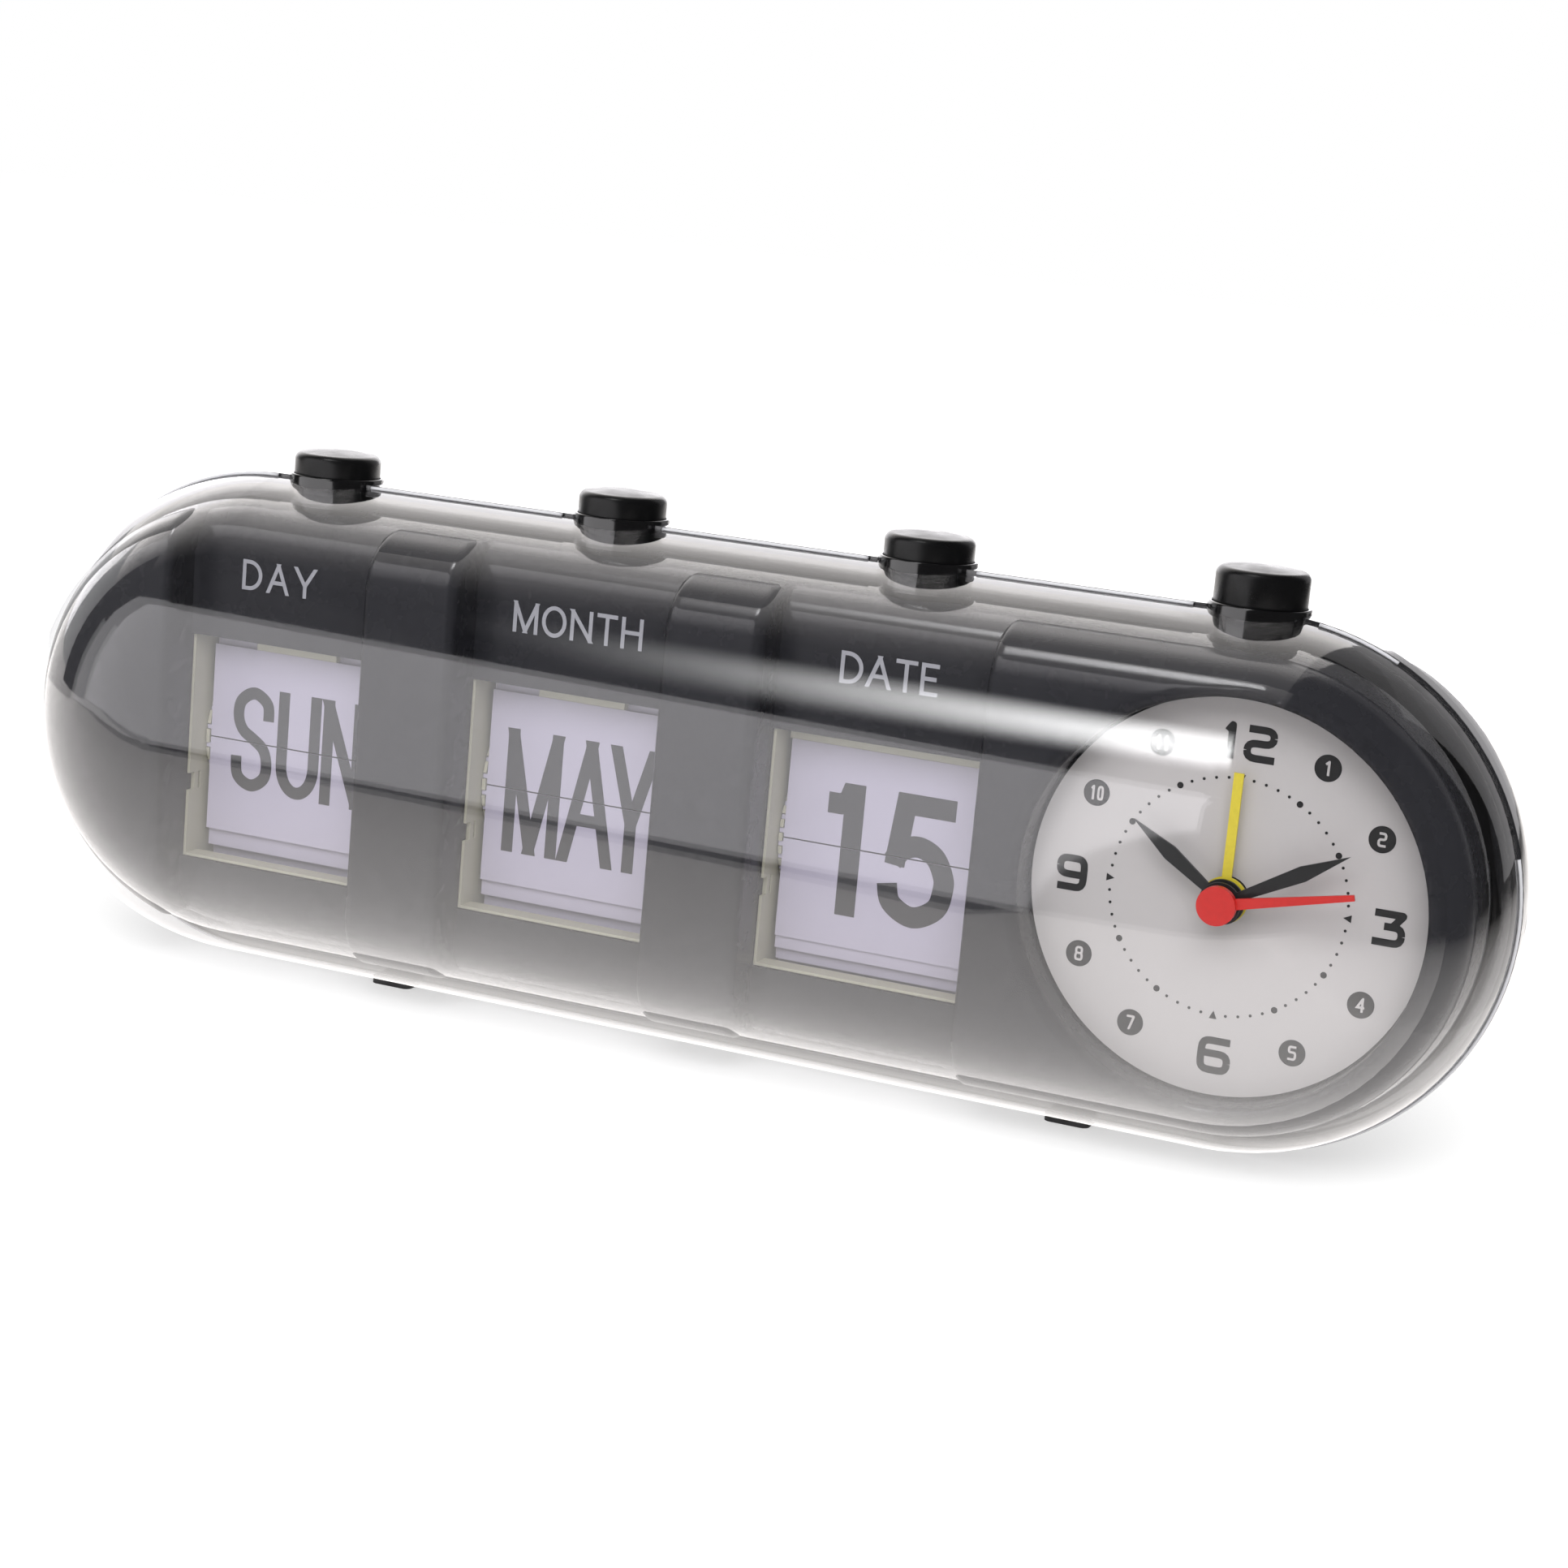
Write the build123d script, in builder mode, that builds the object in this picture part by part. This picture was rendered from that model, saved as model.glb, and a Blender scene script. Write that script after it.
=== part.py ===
"""Flip clock: a capsule-shaped desk clock with a dial and three calendar flip units.

Millimetres, +Z up, front towards -Y. The origin is on the table, under the middle.
Heights named below are counted from the case's own axis, which lies along X.
"""

import os
from math import cos, radians, sin

from build123d import *

# Case
CASE_R = 35.0
CASE_HALF = 73.0
STAND = 0.4
WALL = 2.2
PARTING_Y = -2.5
LIP = 0.4
TONGUE = 1.4
TONGUE_WALL = 1.0
FIT = 0.1
RUNNING = 0.05

# Inner body
BODY_GAP = 1.8
BODY_WALL = 1.8
BODY_REAR_Y = -3.4
FRONT_Y = -18.5
FLOOR_Y = -11.5

# Buttons, counted from the case's surface
BUTTON_R = 6.05
BUTTON_GAP = 0.1
BUTTON_EDGE = 0.5
BUTTON_LEFT = 1.0
ALARM_LEFT = 2.0
COLLAR_WALL = 0.5
COLLAR_RISE = 0.9
COLLAR_DEPTH = 1.2
SKIRT = 1.0
STEM_R = 1.5
STEM_END = 0.3
TRAVEL = 2.5
ALARM_TRAVEL = 3.0
ALARM_SET = 3.0

# Flip units
AXLE_Z = -3.4
AXLE_R = 1.0
AXLE_END = 0.4
PIN_CIRCLE = 9.0
LEAF_HEIGHT = 13.6
LEAF_HALF = 14.2
LEAF_T = 0.25
LEAF_SETBACK = 2.7
EAR = 0.6
DISC_T = 0.5
DISC_GAP = 0.15
DISC_RIM = 0.3
NOTCH = 0.8
CORE_R = 3.0
WINDOW_OVER = 1.8
WINDOW_UNDER = 3.7
FRAME_T = 0.4
FRAME_SET = 0.5
FRAME_UNDER = 2.5
FRAME_FOOT = 4.0
FRAME_FOOT_T = 1.0
SILL_DROP = 2.0
CHEEK_DOWN = 8.6
CHEEK_UP = 7.4
FLANGE_T = 1.0
FLANGE_HEIGHT = 26.0
LEDGE = 3.0
SLOT = 2.5
SLOT_DROP = 6.35
CATCH_T = 1.1
CATCH_GAP = 0.3
CATCH_RISE = 2.2
RATCHET_R = 6.0
RATCHET_T = 1.4
RATCHET_GAP = 0.4
TOOTH = 0.8
ARM_T = 1.2
ARM_GAP = 0.2
PLATE_T = 1.2
PUSHER_DROP = 3.8
BRIDGE_FRONT_Y = -4.0
BRIDGE_REAR_Y = 6.0
BRIDGE_UNDER = 0.7
SPRING_R = 2.6
SPRING_WALL = 0.9
CLICK_HEIGHT = 10.0
CLICK_RISE = 2.0

# Screws that hold the rear cover to the inner body
SCREW_Z = 24.0
SCREW_R = 1.4
SCREW_GRIP = 7.0
BOSS_R = 3.0
BOSS_SPACE = 2.3
HEAD_R = 2.6
HEAD_T = 1.8
HEAD_SEAT_Y = 19.0

# Dial, hands and movement
WELL_R = 26.1
WELL_Y = -11.0
DIAL_GAP = 0.3
DIAL_T = 0.8
BUSH_R = 2.7
BUSH_GAP = 0.2
ARBOR_R = (2.05, 1.55, 1.05, 0.5)
ARBOR_DEPTH = 5.0
HAND_T = 0.4
HAND_PITCH = 1.2
HAND_Y = -13.2
SECOND_CAP = 0.6
ALARM_POINTS = ((-0.62, 0), (-0.62, 16.3), (0.62, 16.3), (0.62, 0))
HOUR_POINTS = ((-0.45, 0), (-1, 8.9), (0, 15.1), (1, 8.9), (0.45, 0))
MINUTE_POINTS = ((-0.45, 0), (-1, 11.4), (0, 17.8), (1, 11.4), (0.45, 0))
SECOND_POINTS = ((-0.75, 0), (-0.38, 17.3), (0.38, 17.3), (0.75, 0))
MOVEMENT_HALF_X = 20.0
MOVEMENT_HALF_Z = 17.0
MOVEMENT_T = 11.6
MOVEMENT_ROUND = 3.0

# Rear pocket with the two setting knobs
KNOB_R = 6.0
KNOB_SPREAD = 8.5
KNOB_Z = 11.0
KNOB_T = 8.0
KNOB_SINK = 4.5
KNOB_GAP = 0.5
FLUTE = 0.45
FLUTES = 18
POCKET_GAP = 1.5
POCKET_WALL = 1.5
SHAFT_R = 1.5
SHAFT_GRIP = 2.5
SHAFT_GAP = 0.5

# Battery bay, buzzer, alarm switch and feet
CELL_R = 7.25
CELL_LENGTH = 50.5
CELL_TIP_R = 2.7
CELL_TIP = 1.0
CELL_GAP = 0.4
CONTACT_T = 0.3
CONTACT_SIDE = 9.0
BAY_WALL = 1.2
BAY_SPACE = 0.8
BAY_REAR_GAP = 0.25
BAY_BOSS_GAP = 0.15
DOOR_GAP = 0.15
DOOR_T = 1.8
GRIP_LENGTH = 9.0
GRIP_WIDTH = 1.0
GRIP_DEPTH = 0.6
GRIP_PITCH = 2.2
BUZZER_R = 10.0
BUZZER_T = 5.0
BUZZER_SINK = 10.0
SOUND_SLOT = 1.2
SOUND_LENGTH = 12.0
SOUND_PITCH = 3.0
SWITCH_X = 10.0
SWITCH_Y = 6.0
SWITCH_HEIGHT = 5.0
FOOT_WIDTH = 6.2
FOOT_LENGTH = 16.2
FOOT_FRONT_Y = -5.1
FOOT_ROUND = 1.0
FOOT_SPREAD = 51.0

# Heights and depths that follow from these
AXIS_Z = CASE_R + LIP + STAND
BODY_R = CASE_R - WALL - BODY_GAP
BOSS_Y = PARTING_Y + TONGUE + FIT
COLLAR_BORE = BUTTON_R + BUTTON_GAP
COLLAR_R = COLLAR_BORE + COLLAR_WALL
COLLAR_FOOT = CASE_R - WALL - COLLAR_DEPTH
BUTTON_FOOT = COLLAR_FOOT - SKIRT
BUTTON_TOP = CASE_R + COLLAR_RISE + TRAVEL + BUTTON_LEFT
ALARM_TOP = CASE_R + COLLAR_RISE + ALARM_TRAVEL + ALARM_LEFT
PUSHER_Z = BUTTON_FOOT - PUSHER_DROP
AXLE_Y = FLOOR_Y + BODY_WALL + LEAF_SETBACK + PIN_CIRCLE
WINDOW_TOP = AXLE_Z + LEAF_HEIGHT + WINDOW_OVER
WINDOW_BOTTOM = AXLE_Z - LEAF_HEIGHT - WINDOW_UNDER
BRIDGE_Z = AXLE_Z + PIN_CIRCLE + LEAF_HEIGHT - BRIDGE_UNDER
FRAME_FOOT_Z = AXLE_Z - PIN_CIRCLE - LEAF_HEIGHT - FRAME_UNDER
FRAME_FRONT_Y = FLOOR_Y + FRAME_SET
MOVEMENT_FRONT_Y = WELL_Y + BODY_WALL
MOVEMENT_REAR_Y = MOVEMENT_FRONT_Y + MOVEMENT_T
BUSH_END_Y = HAND_Y + BUSH_GAP
SWITCH_TOP = MOVEMENT_HALF_Z + SWITCH_HEIGHT
KNOB_REAR_Y = CASE_R - KNOB_SINK
KNOB_FRONT_Y = KNOB_REAR_Y - KNOB_T
POCKET_FLOOR_Y = KNOB_FRONT_Y - KNOB_GAP
BUZZER_Y = CASE_R - BUZZER_SINK
CELL_Y = MOVEMENT_REAR_Y + BAY_REAR_GAP + BAY_WALL + CELL_GAP + CELL_R
CELL_Z = BOSS_R + BAY_BOSS_GAP + BAY_WALL + CELL_GAP + CELL_R - SCREW_Z

# Places along the case that follow from these
DISC_X = LEAF_HALF + DISC_GAP
FRAME_X = DISC_X + DISC_T + DISC_GAP
FRAME_OUT = FRAME_X + FRAME_T
GROOVE_HALF = FRAME_OUT + FIT
RATCHET_X = FRAME_OUT + RATCHET_GAP
BUTTON_PITCH = 2 * (RATCHET_X + RATCHET_T + BOSS_SPACE + BOSS_R)
DIAL_X = CASE_HALF
BUTTON_X = [DIAL_X - ALARM_SET - BUTTON_PITCH * step for step in (3, 2, 1, 0)]
MIDDLE_X = (BUTTON_X[0] + BUTTON_X[3]) / 2
SCREW_X = (MIDDLE_X - BUTTON_PITCH, MIDDLE_X + BUTTON_PITCH)
BAY_HALF = CELL_LENGTH / 2 + RUNNING + CONTACT_T
CELL_X = BUTTON_X[2] + FRAME_OUT + BAY_SPACE + BAY_WALL + BAY_HALF
FAR = 2 * CASE_R

CLOCK_AXIS = Axis((0, 0, AXIS_Z), (1, 0, 0))


def front_plane(y, x=0.0, z=0.0):
    """A plane that faces forward at depth y, with X to the right and Z up."""
    return Plane(origin=(x, y, AXIS_Z + z), x_dir=(1, 0, 0), z_dir=(0, -1, 0))


def level_plane(z, x=0.0, y=0.0):
    """A level plane at height z over the case's axis."""
    return Plane(origin=(x, y, AXIS_Z + z), x_dir=(1, 0, 0), z_dir=(0, 0, 1))


def side_plane(x, y=0.0, z=0.0):
    """A plane that faces +X, with Y to the right and Z up."""
    return Plane(origin=(x, y, AXIS_Z + z), x_dir=(0, 1, 0), z_dir=(1, 0, 0))


def save(piece, name):
    """Label a finished piece and write its file."""
    piece.part.label = name
    export_step(piece.part, f"parts/{name}.step")


def capsule(radius):
    """A cylinder with round ends on the case's axis."""
    with BuildPart() as solid:
        with BuildSketch(front_plane(0)):
            with BuildLine():
                Line((-CASE_HALF - radius, 0), (CASE_HALF + radius, 0))
                CenterArc((CASE_HALF, 0), radius, 0, 90)
                Line((CASE_HALF, radius), (-CASE_HALF, radius))
                CenterArc((-CASE_HALF, 0), radius, 90, 90)
            make_face()
        revolve(axis=CLOCK_AXIS)
    return solid.part


def coned_hollow(radius):
    """A cylinder on the case's axis with coned ends, to hollow out what nobody sees."""
    steps = [(radius * cos(radians(angle)), radius * sin(radians(angle))) for angle in (0, 30, 60, 90)]
    right = [(CASE_HALF + along, out) for along, out in steps]
    left = [(-CASE_HALF - along, out) for along, out in reversed(steps)]
    with BuildPart() as solid:
        with BuildSketch(front_plane(0)):
            with BuildLine():
                Polyline(*right, *left, close=True)
            make_face()
        revolve(axis=CLOCK_AXIS)
    return solid.part


def slab(y_front, y_rear):
    """Everything between two depths, to keep part of a shell."""
    with BuildPart() as solid:
        with BuildSketch(front_plane(y_front)):
            Rectangle(2 * (CASE_HALF + FAR), 2 * FAR)
        extrude(amount=y_front - y_rear)
    return solid.part


def button_holes(radius, z_foot):
    """Upright round columns at the four buttons."""
    with BuildPart() as solid:
        for x in BUTTON_X:
            with BuildSketch(level_plane(z_foot, x)):
                Circle(radius)
            extrude(amount=FAR)
    return solid.part


def make_front_cover():
    """Clear shell in front of the parting plane, with a tongue inside the rear one."""
    with BuildPart() as cover:
        add(capsule(CASE_R))
        add(slab(-FAR, PARTING_Y), mode=Mode.INTERSECT)
        add(capsule(CASE_R - WALL + TONGUE_WALL))
        add(slab(-FAR, PARTING_Y + TONGUE), mode=Mode.INTERSECT)
        add(capsule(CASE_R - WALL), mode=Mode.SUBTRACT)
        add(button_holes(COLLAR_R + RUNNING, 0), mode=Mode.SUBTRACT)
    save(cover, "front_cover")


def pocket_outline(gap):
    """Round-ended outline around the two setting knobs."""
    with BuildSketch() as outline:
        SlotCenterToCenter(2 * KNOB_SPREAD, 2 * (KNOB_R + POCKET_GAP + gap))
    return outline.sketch


def bay_outline(gap):
    """Rectangle of the battery bay, seen from the front."""
    with BuildSketch() as outline:
        Rectangle(2 * (BAY_HALF + gap), 2 * (CELL_R + CELL_GAP + gap))
    return outline.sketch


def make_rear_cover():
    """Dark shell behind the parting plane, with bay, knob pocket, bosses and sound holes."""
    bay_front = CELL_Y - CELL_R - CELL_GAP
    with BuildPart() as cover:
        add(capsule(CASE_R + LIP))
        add(coned_hollow(CASE_R - WALL), mode=Mode.SUBTRACT)
        with BuildSketch(front_plane(bay_front - BAY_WALL, CELL_X, CELL_Z)):
            add(bay_outline(BAY_WALL))
        extrude(amount=-FAR)
        with BuildSketch(front_plane(POCKET_FLOOR_Y - POCKET_WALL, DIAL_X, KNOB_Z)):
            add(pocket_outline(POCKET_WALL))
        extrude(amount=-FAR)
        for x in SCREW_X:
            for z in (SCREW_Z, -SCREW_Z):
                with BuildSketch(front_plane(BOSS_Y, x, z)):
                    Circle(BOSS_R)
                extrude(amount=-FAR)
        with BuildSketch(front_plane(BUZZER_Y, MIDDLE_X)):
            Circle(BUZZER_R + FIT + BAY_WALL)
            Circle(BUZZER_R + FIT, mode=Mode.SUBTRACT)
        extrude(amount=-FAR)
        add(capsule(CASE_R + LIP), mode=Mode.INTERSECT)
        add(slab(PARTING_Y, FAR), mode=Mode.INTERSECT)
        with BuildSketch(front_plane(bay_front, CELL_X, CELL_Z)):
            add(bay_outline(0))
        extrude(amount=-FAR, mode=Mode.SUBTRACT)
        with BuildSketch(front_plane(POCKET_FLOOR_Y, DIAL_X, KNOB_Z)):
            add(pocket_outline(0))
        extrude(amount=-FAR, mode=Mode.SUBTRACT)
        with BuildSketch(front_plane(0, DIAL_X, KNOB_Z)):
            with Locations((-KNOB_SPREAD, 0), (KNOB_SPREAD, 0)):
                Circle(SHAFT_R + RUNNING)
        extrude(amount=-FAR, mode=Mode.SUBTRACT)
        for x in SCREW_X:
            for z in (SCREW_Z, -SCREW_Z):
                with BuildSketch(front_plane(HEAD_SEAT_Y, x, z)):
                    Circle(HEAD_R + FIT)
                extrude(amount=-FAR, mode=Mode.SUBTRACT)
                with BuildSketch(front_plane(PARTING_Y, x, z)):
                    Circle(SCREW_R + FIT)
                extrude(amount=-FAR, mode=Mode.SUBTRACT)
        with BuildSketch(front_plane(BUZZER_Y, MIDDLE_X)):
            with GridLocations(SOUND_PITCH, 0, 5, 1):
                Rectangle(SOUND_SLOT, SOUND_LENGTH)
        extrude(amount=-FAR, mode=Mode.SUBTRACT)
        add(button_holes(COLLAR_R + RUNNING, 0), mode=Mode.SUBTRACT)
        add(tongue_recess(), mode=Mode.SUBTRACT)
    save(cover, "rear_cover")


def tongue_recess():
    """Step cut from the rear shell's rim, where the clear cover's tongue sits."""
    with BuildPart() as recess:
        add(capsule(CASE_R - WALL + TONGUE_WALL + FIT))
        add(slab(PARTING_Y - FIT, BOSS_Y), mode=Mode.INTERSECT)
    return recess.part


def make_battery_door():
    """Piece of the rear shell that closes the battery bay."""
    with BuildPart() as door:
        with BuildSketch(front_plane(CELL_Y, CELL_X, CELL_Z)):
            add(bay_outline(-DOOR_GAP))
        extrude(amount=-FAR)
        add(capsule(CASE_R + LIP), mode=Mode.INTERSECT)
        add(capsule(CASE_R + LIP - DOOR_T), mode=Mode.SUBTRACT)
        with BuildSketch(front_plane(CELL_Y, CELL_X - BAY_HALF / 2, CELL_Z)):
            with GridLocations(GRIP_PITCH, 0, 3, 1):
                Rectangle(GRIP_WIDTH, GRIP_LENGTH)
        extrude(amount=-FAR, mode=Mode.SUBTRACT)
        add(door_floor())
    save(door, "battery_door")


def door_floor():
    """What is left under the door's three grip grooves."""
    with BuildPart() as floor:
        with BuildSketch(front_plane(CELL_Y, CELL_X - BAY_HALF / 2, CELL_Z)):
            Rectangle(3 * GRIP_PITCH, GRIP_LENGTH + GRIP_PITCH)
        extrude(amount=-FAR)
        add(capsule(CASE_R + LIP - GRIP_DEPTH), mode=Mode.INTERSECT)
        add(capsule(CASE_R + LIP - DOOR_T), mode=Mode.SUBTRACT)
    return floor.part


def body_form(inset, y_rear):
    """Form of the inner body, or with an inset the hollow behind its wall."""
    with BuildPart() as form:
        add(coned_hollow(BODY_R - inset) if inset else capsule(BODY_R))
        add(slab(FRONT_Y + inset, y_rear), mode=Mode.INTERSECT)
        for x in BUTTON_X[:3]:
            with BuildSketch(front_plane(FLOOR_Y + inset, x)):
                Rectangle(2 * (GROOVE_HALF + inset), 2 * FAR)
            extrude(amount=FAR, mode=Mode.SUBTRACT)
        with BuildSketch(front_plane(WELL_Y + inset, DIAL_X)):
            Circle(WELL_R + inset)
        extrude(amount=FAR, mode=Mode.SUBTRACT)
    return form.part


def make_inner_body():
    """Dark mask behind the clear cover: raised face, three grooves, windows and dial well."""
    window_z = (WINDOW_TOP + WINDOW_BOTTOM) / 2
    with BuildPart() as body:
        add(body_form(0, BODY_REAR_Y))
        add(body_form(BODY_WALL, 0), mode=Mode.SUBTRACT)
        for x in SCREW_X:
            for z in (SCREW_Z, -SCREW_Z):
                with BuildSketch(front_plane(BOSS_Y, x, z)):
                    Circle(BOSS_R)
                extrude(amount=BOSS_Y - FRONT_Y - BODY_WALL)
                with BuildSketch(front_plane(BOSS_Y, x, z)):
                    Circle(SCREW_R)
                extrude(amount=SCREW_GRIP + SKIRT, mode=Mode.SUBTRACT)
        for x in BUTTON_X[:3]:
            with BuildSketch(front_plane(FLOOR_Y, x, window_z)):
                Rectangle(2 * GROOVE_HALF, WINDOW_TOP - WINDOW_BOTTOM)
            extrude(amount=-2 * BODY_WALL, mode=Mode.SUBTRACT)
        with BuildSketch(front_plane(WELL_Y, DIAL_X)):
            Circle(BUSH_R + FIT)
        extrude(amount=-2 * BODY_WALL, mode=Mode.SUBTRACT)
        add(button_holes(COLLAR_R + 3 * FIT, 0), mode=Mode.SUBTRACT)
    save(body, "inner_body")


def make_collars():
    """Rings in the case's roof, one around each button."""
    with BuildPart() as collars:
        for x in BUTTON_X:
            with BuildSketch(level_plane(COLLAR_FOOT, x)):
                Circle(COLLAR_R)
                Circle(COLLAR_BORE, mode=Mode.SUBTRACT)
            extrude(amount=CASE_R + COLLAR_RISE - COLLAR_FOOT)
    save(collars, "button_collars")


def make_button(name, x, top, stem_end):
    """Round cap with a broken top edge on a thin stem."""
    with BuildPart() as button:
        with BuildSketch(level_plane(BUTTON_FOOT, x)):
            Circle(BUTTON_R)
        extrude(amount=top - BUTTON_FOOT)
        chamfer(button.faces().sort_by(Axis.Z)[-1].edges(), BUTTON_EDGE)
        with BuildSketch(level_plane(stem_end, x)):
            Circle(STEM_R)
        extrude(amount=BUTTON_FOOT - stem_end)
    save(button, name)


def make_spring(name, x, z_foot, z_top):
    """Return spring around a stem, as the sleeve that holds its turns."""
    with BuildPart() as spring:
        with BuildSketch(level_plane(z_foot, x)):
            Circle(SPRING_R)
            Circle(SPRING_R - SPRING_WALL, mode=Mode.SUBTRACT)
        extrude(amount=z_top - z_foot)
    save(spring, name)


def rear_form():
    """The rear cover's outer form, without a hollow."""
    with BuildPart() as solid:
        add(capsule(CASE_R + LIP))
        add(slab(PARTING_Y, FAR), mode=Mode.INTERSECT)
    return solid.part


def make_feet():
    """Two long pads, cut to the case's curve."""
    with BuildPart() as feet:
        for x in (MIDDLE_X - FOOT_SPREAD, MIDDLE_X + FOOT_SPREAD):
            with BuildSketch(level_plane(-AXIS_Z, x, FOOT_FRONT_Y + FOOT_LENGTH / 2)):
                RectangleRounded(FOOT_WIDTH, FOOT_LENGTH, FOOT_ROUND)
            extrude(amount=FOOT_WIDTH)
        add(capsule(CASE_R), mode=Mode.SUBTRACT)
        add(rear_form(), mode=Mode.SUBTRACT)
    save(feet, "rubber_feet")


def leaf_plane(x, phi, psi):
    """Plane of a leaf whose ears stand at phi on the pin circle and which points along psi."""
    pin_y = AXLE_Y - PIN_CIRCLE * cos(radians(phi))
    pin_z = AXIS_Z + AXLE_Z + PIN_CIRCLE * sin(radians(phi))
    normal = (0, -sin(radians(psi)), -cos(radians(psi)))
    return Plane(origin=(x, pin_y, pin_z), x_dir=(1, 0, 0), z_dir=normal)


def leaf_outline(root, half_pitch):
    """Card with an ear at each side, whose lower edge lies at root under the ears' middle."""
    tip = LEAF_HEIGHT - PIN_CIRCLE * sin(radians(half_pitch))
    with BuildSketch() as outline:
        with Locations((0, (tip + root) / 2)):
            Rectangle(2 * LEAF_HALF, tip - root)
        Rectangle(2 * (DISC_X + DISC_T), EAR)
    return outline.sketch


def make_leaves(name, x, count):
    """The three leaves that move by themselves and the rest of the stack."""
    pitch = 360 / count
    half = pitch / 2
    split = FIT - PIN_CIRCLE * sin(radians(half))
    for leaf, phi, psi in (
        ("lower_leaf", -half, 270),
        ("falling_leaf", half, 90),
        ("next_leaf", 3 * half, 90),
    ):
        with BuildPart() as single:
            with BuildSketch(leaf_plane(x, phi, psi)):
                add(leaf_outline(split, half))
            extrude(amount=LEAF_T / 2, both=True)
        save(single, f"{name}_{leaf}")
    with BuildPart() as pack:
        for step in range(3, count):
            phi = (step - 0.5) * pitch
            with BuildSketch(leaf_plane(x, phi, min(phi + 90 - 3 * half, 270))):
                add(leaf_outline(-EAR / 2, half))
            extrude(amount=LEAF_T / 2, both=True)
    save(pack, f"{name}_leaf_pack")


def make_drum(name, x, count):
    """Spool whose two notched discs carry the leaves' ears."""
    pitch = 360 / count
    rim = PIN_CIRCLE + DISC_RIM
    notch_floor = PIN_CIRCLE - NOTCH / 2
    with BuildPart() as drum:
        for x_disc in (x - DISC_X - DISC_T, x + DISC_X):
            with BuildSketch(side_plane(x_disc, AXLE_Y, AXLE_Z)):
                RegularPolygon(rim / cos(radians(pitch / 2)), count, rotation=180 - pitch / 2)
                with PolarLocations(notch_floor + NOTCH, count, start_angle=180 - pitch / 2):
                    Rectangle(2 * NOTCH, NOTCH, mode=Mode.SUBTRACT)
                Circle(AXLE_R, mode=Mode.SUBTRACT)
            extrude(amount=DISC_T)
        with BuildSketch(side_plane(x - DISC_X, AXLE_Y, AXLE_Z)):
            Circle(CORE_R)
            Circle(AXLE_R, mode=Mode.SUBTRACT)
        extrude(amount=2 * DISC_X)
    save(drum, f"{name}_drum")


def make_axle(name, x, side):
    """Rod that turns with the drum and carries the ratchet outside the frame."""
    x_near = x - side * (FRAME_OUT + AXLE_END)
    length = FRAME_OUT + AXLE_END + RATCHET_X + RATCHET_T + AXLE_END
    with BuildPart() as axle:
        with BuildSketch(side_plane(x_near, AXLE_Y, AXLE_Z)):
            Circle(AXLE_R)
        extrude(amount=side * length)
    save(axle, f"{name}_axle")


def make_ratchet(name, x, side, count):
    """Wheel of saw teeth, one for each leaf."""
    step = 360 / count
    points = []
    for tooth in range(count):
        angle = radians(tooth * step)
        points.append((RATCHET_R * cos(angle), RATCHET_R * sin(angle)))
        points.append(((RATCHET_R - TOOTH) * cos(angle), (RATCHET_R - TOOTH) * sin(angle)))
    with BuildPart() as wheel:
        with BuildSketch(side_plane(x + side * RATCHET_X, AXLE_Y, AXLE_Z)):
            with BuildLine():
                Polyline(*points, close=True)
            make_face()
            Circle(AXLE_R, mode=Mode.SUBTRACT)
        extrude(amount=side * RATCHET_T)
    save(wheel, f"{name}_ratchet")


def make_pusher(name, x, side):
    """Plate under the button with a long finger beside the ratchet."""
    x_out = RATCHET_X + RATCHET_T
    y_front = AXLE_Y - RATCHET_R - ARM_GAP - ARM_T
    plate_end = STEM_R + PLATE_T
    with BuildPart() as pusher:
        with BuildSketch(level_plane(PUSHER_Z, x)):
            with Locations((side * (x_out - plate_end) / 2, (y_front + plate_end) / 2)):
                Rectangle(x_out + plate_end, plate_end - y_front)
            Circle(STEM_R, mode=Mode.SUBTRACT)
        extrude(amount=PLATE_T)
        with BuildSketch(level_plane(PUSHER_Z, x)):
            with Locations((side * (x_out - ARM_T / 2), y_front + ARM_T / 2)):
                Rectangle(ARM_T, ARM_T)
        extrude(amount=AXLE_Z - PUSHER_Z)
    save(pusher, f"{name}_pusher")


def make_click_spring(name, x, side):
    """Thin strip that rests by the ratchet and keeps it from turning back."""
    y_mid = AXLE_Y + RATCHET_R + ARM_GAP + FRAME_T / 2
    with BuildPart() as click:
        with BuildSketch(side_plane(x + side * FRAME_OUT, y_mid, AXLE_Z)):
            with Locations((0, CLICK_RISE)):
                Rectangle(FRAME_T, CLICK_HEIGHT)
        extrude(amount=side * (RATCHET_X + RATCHET_T - FRAME_OUT))
    save(click, f"{name}_click_spring")


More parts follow.
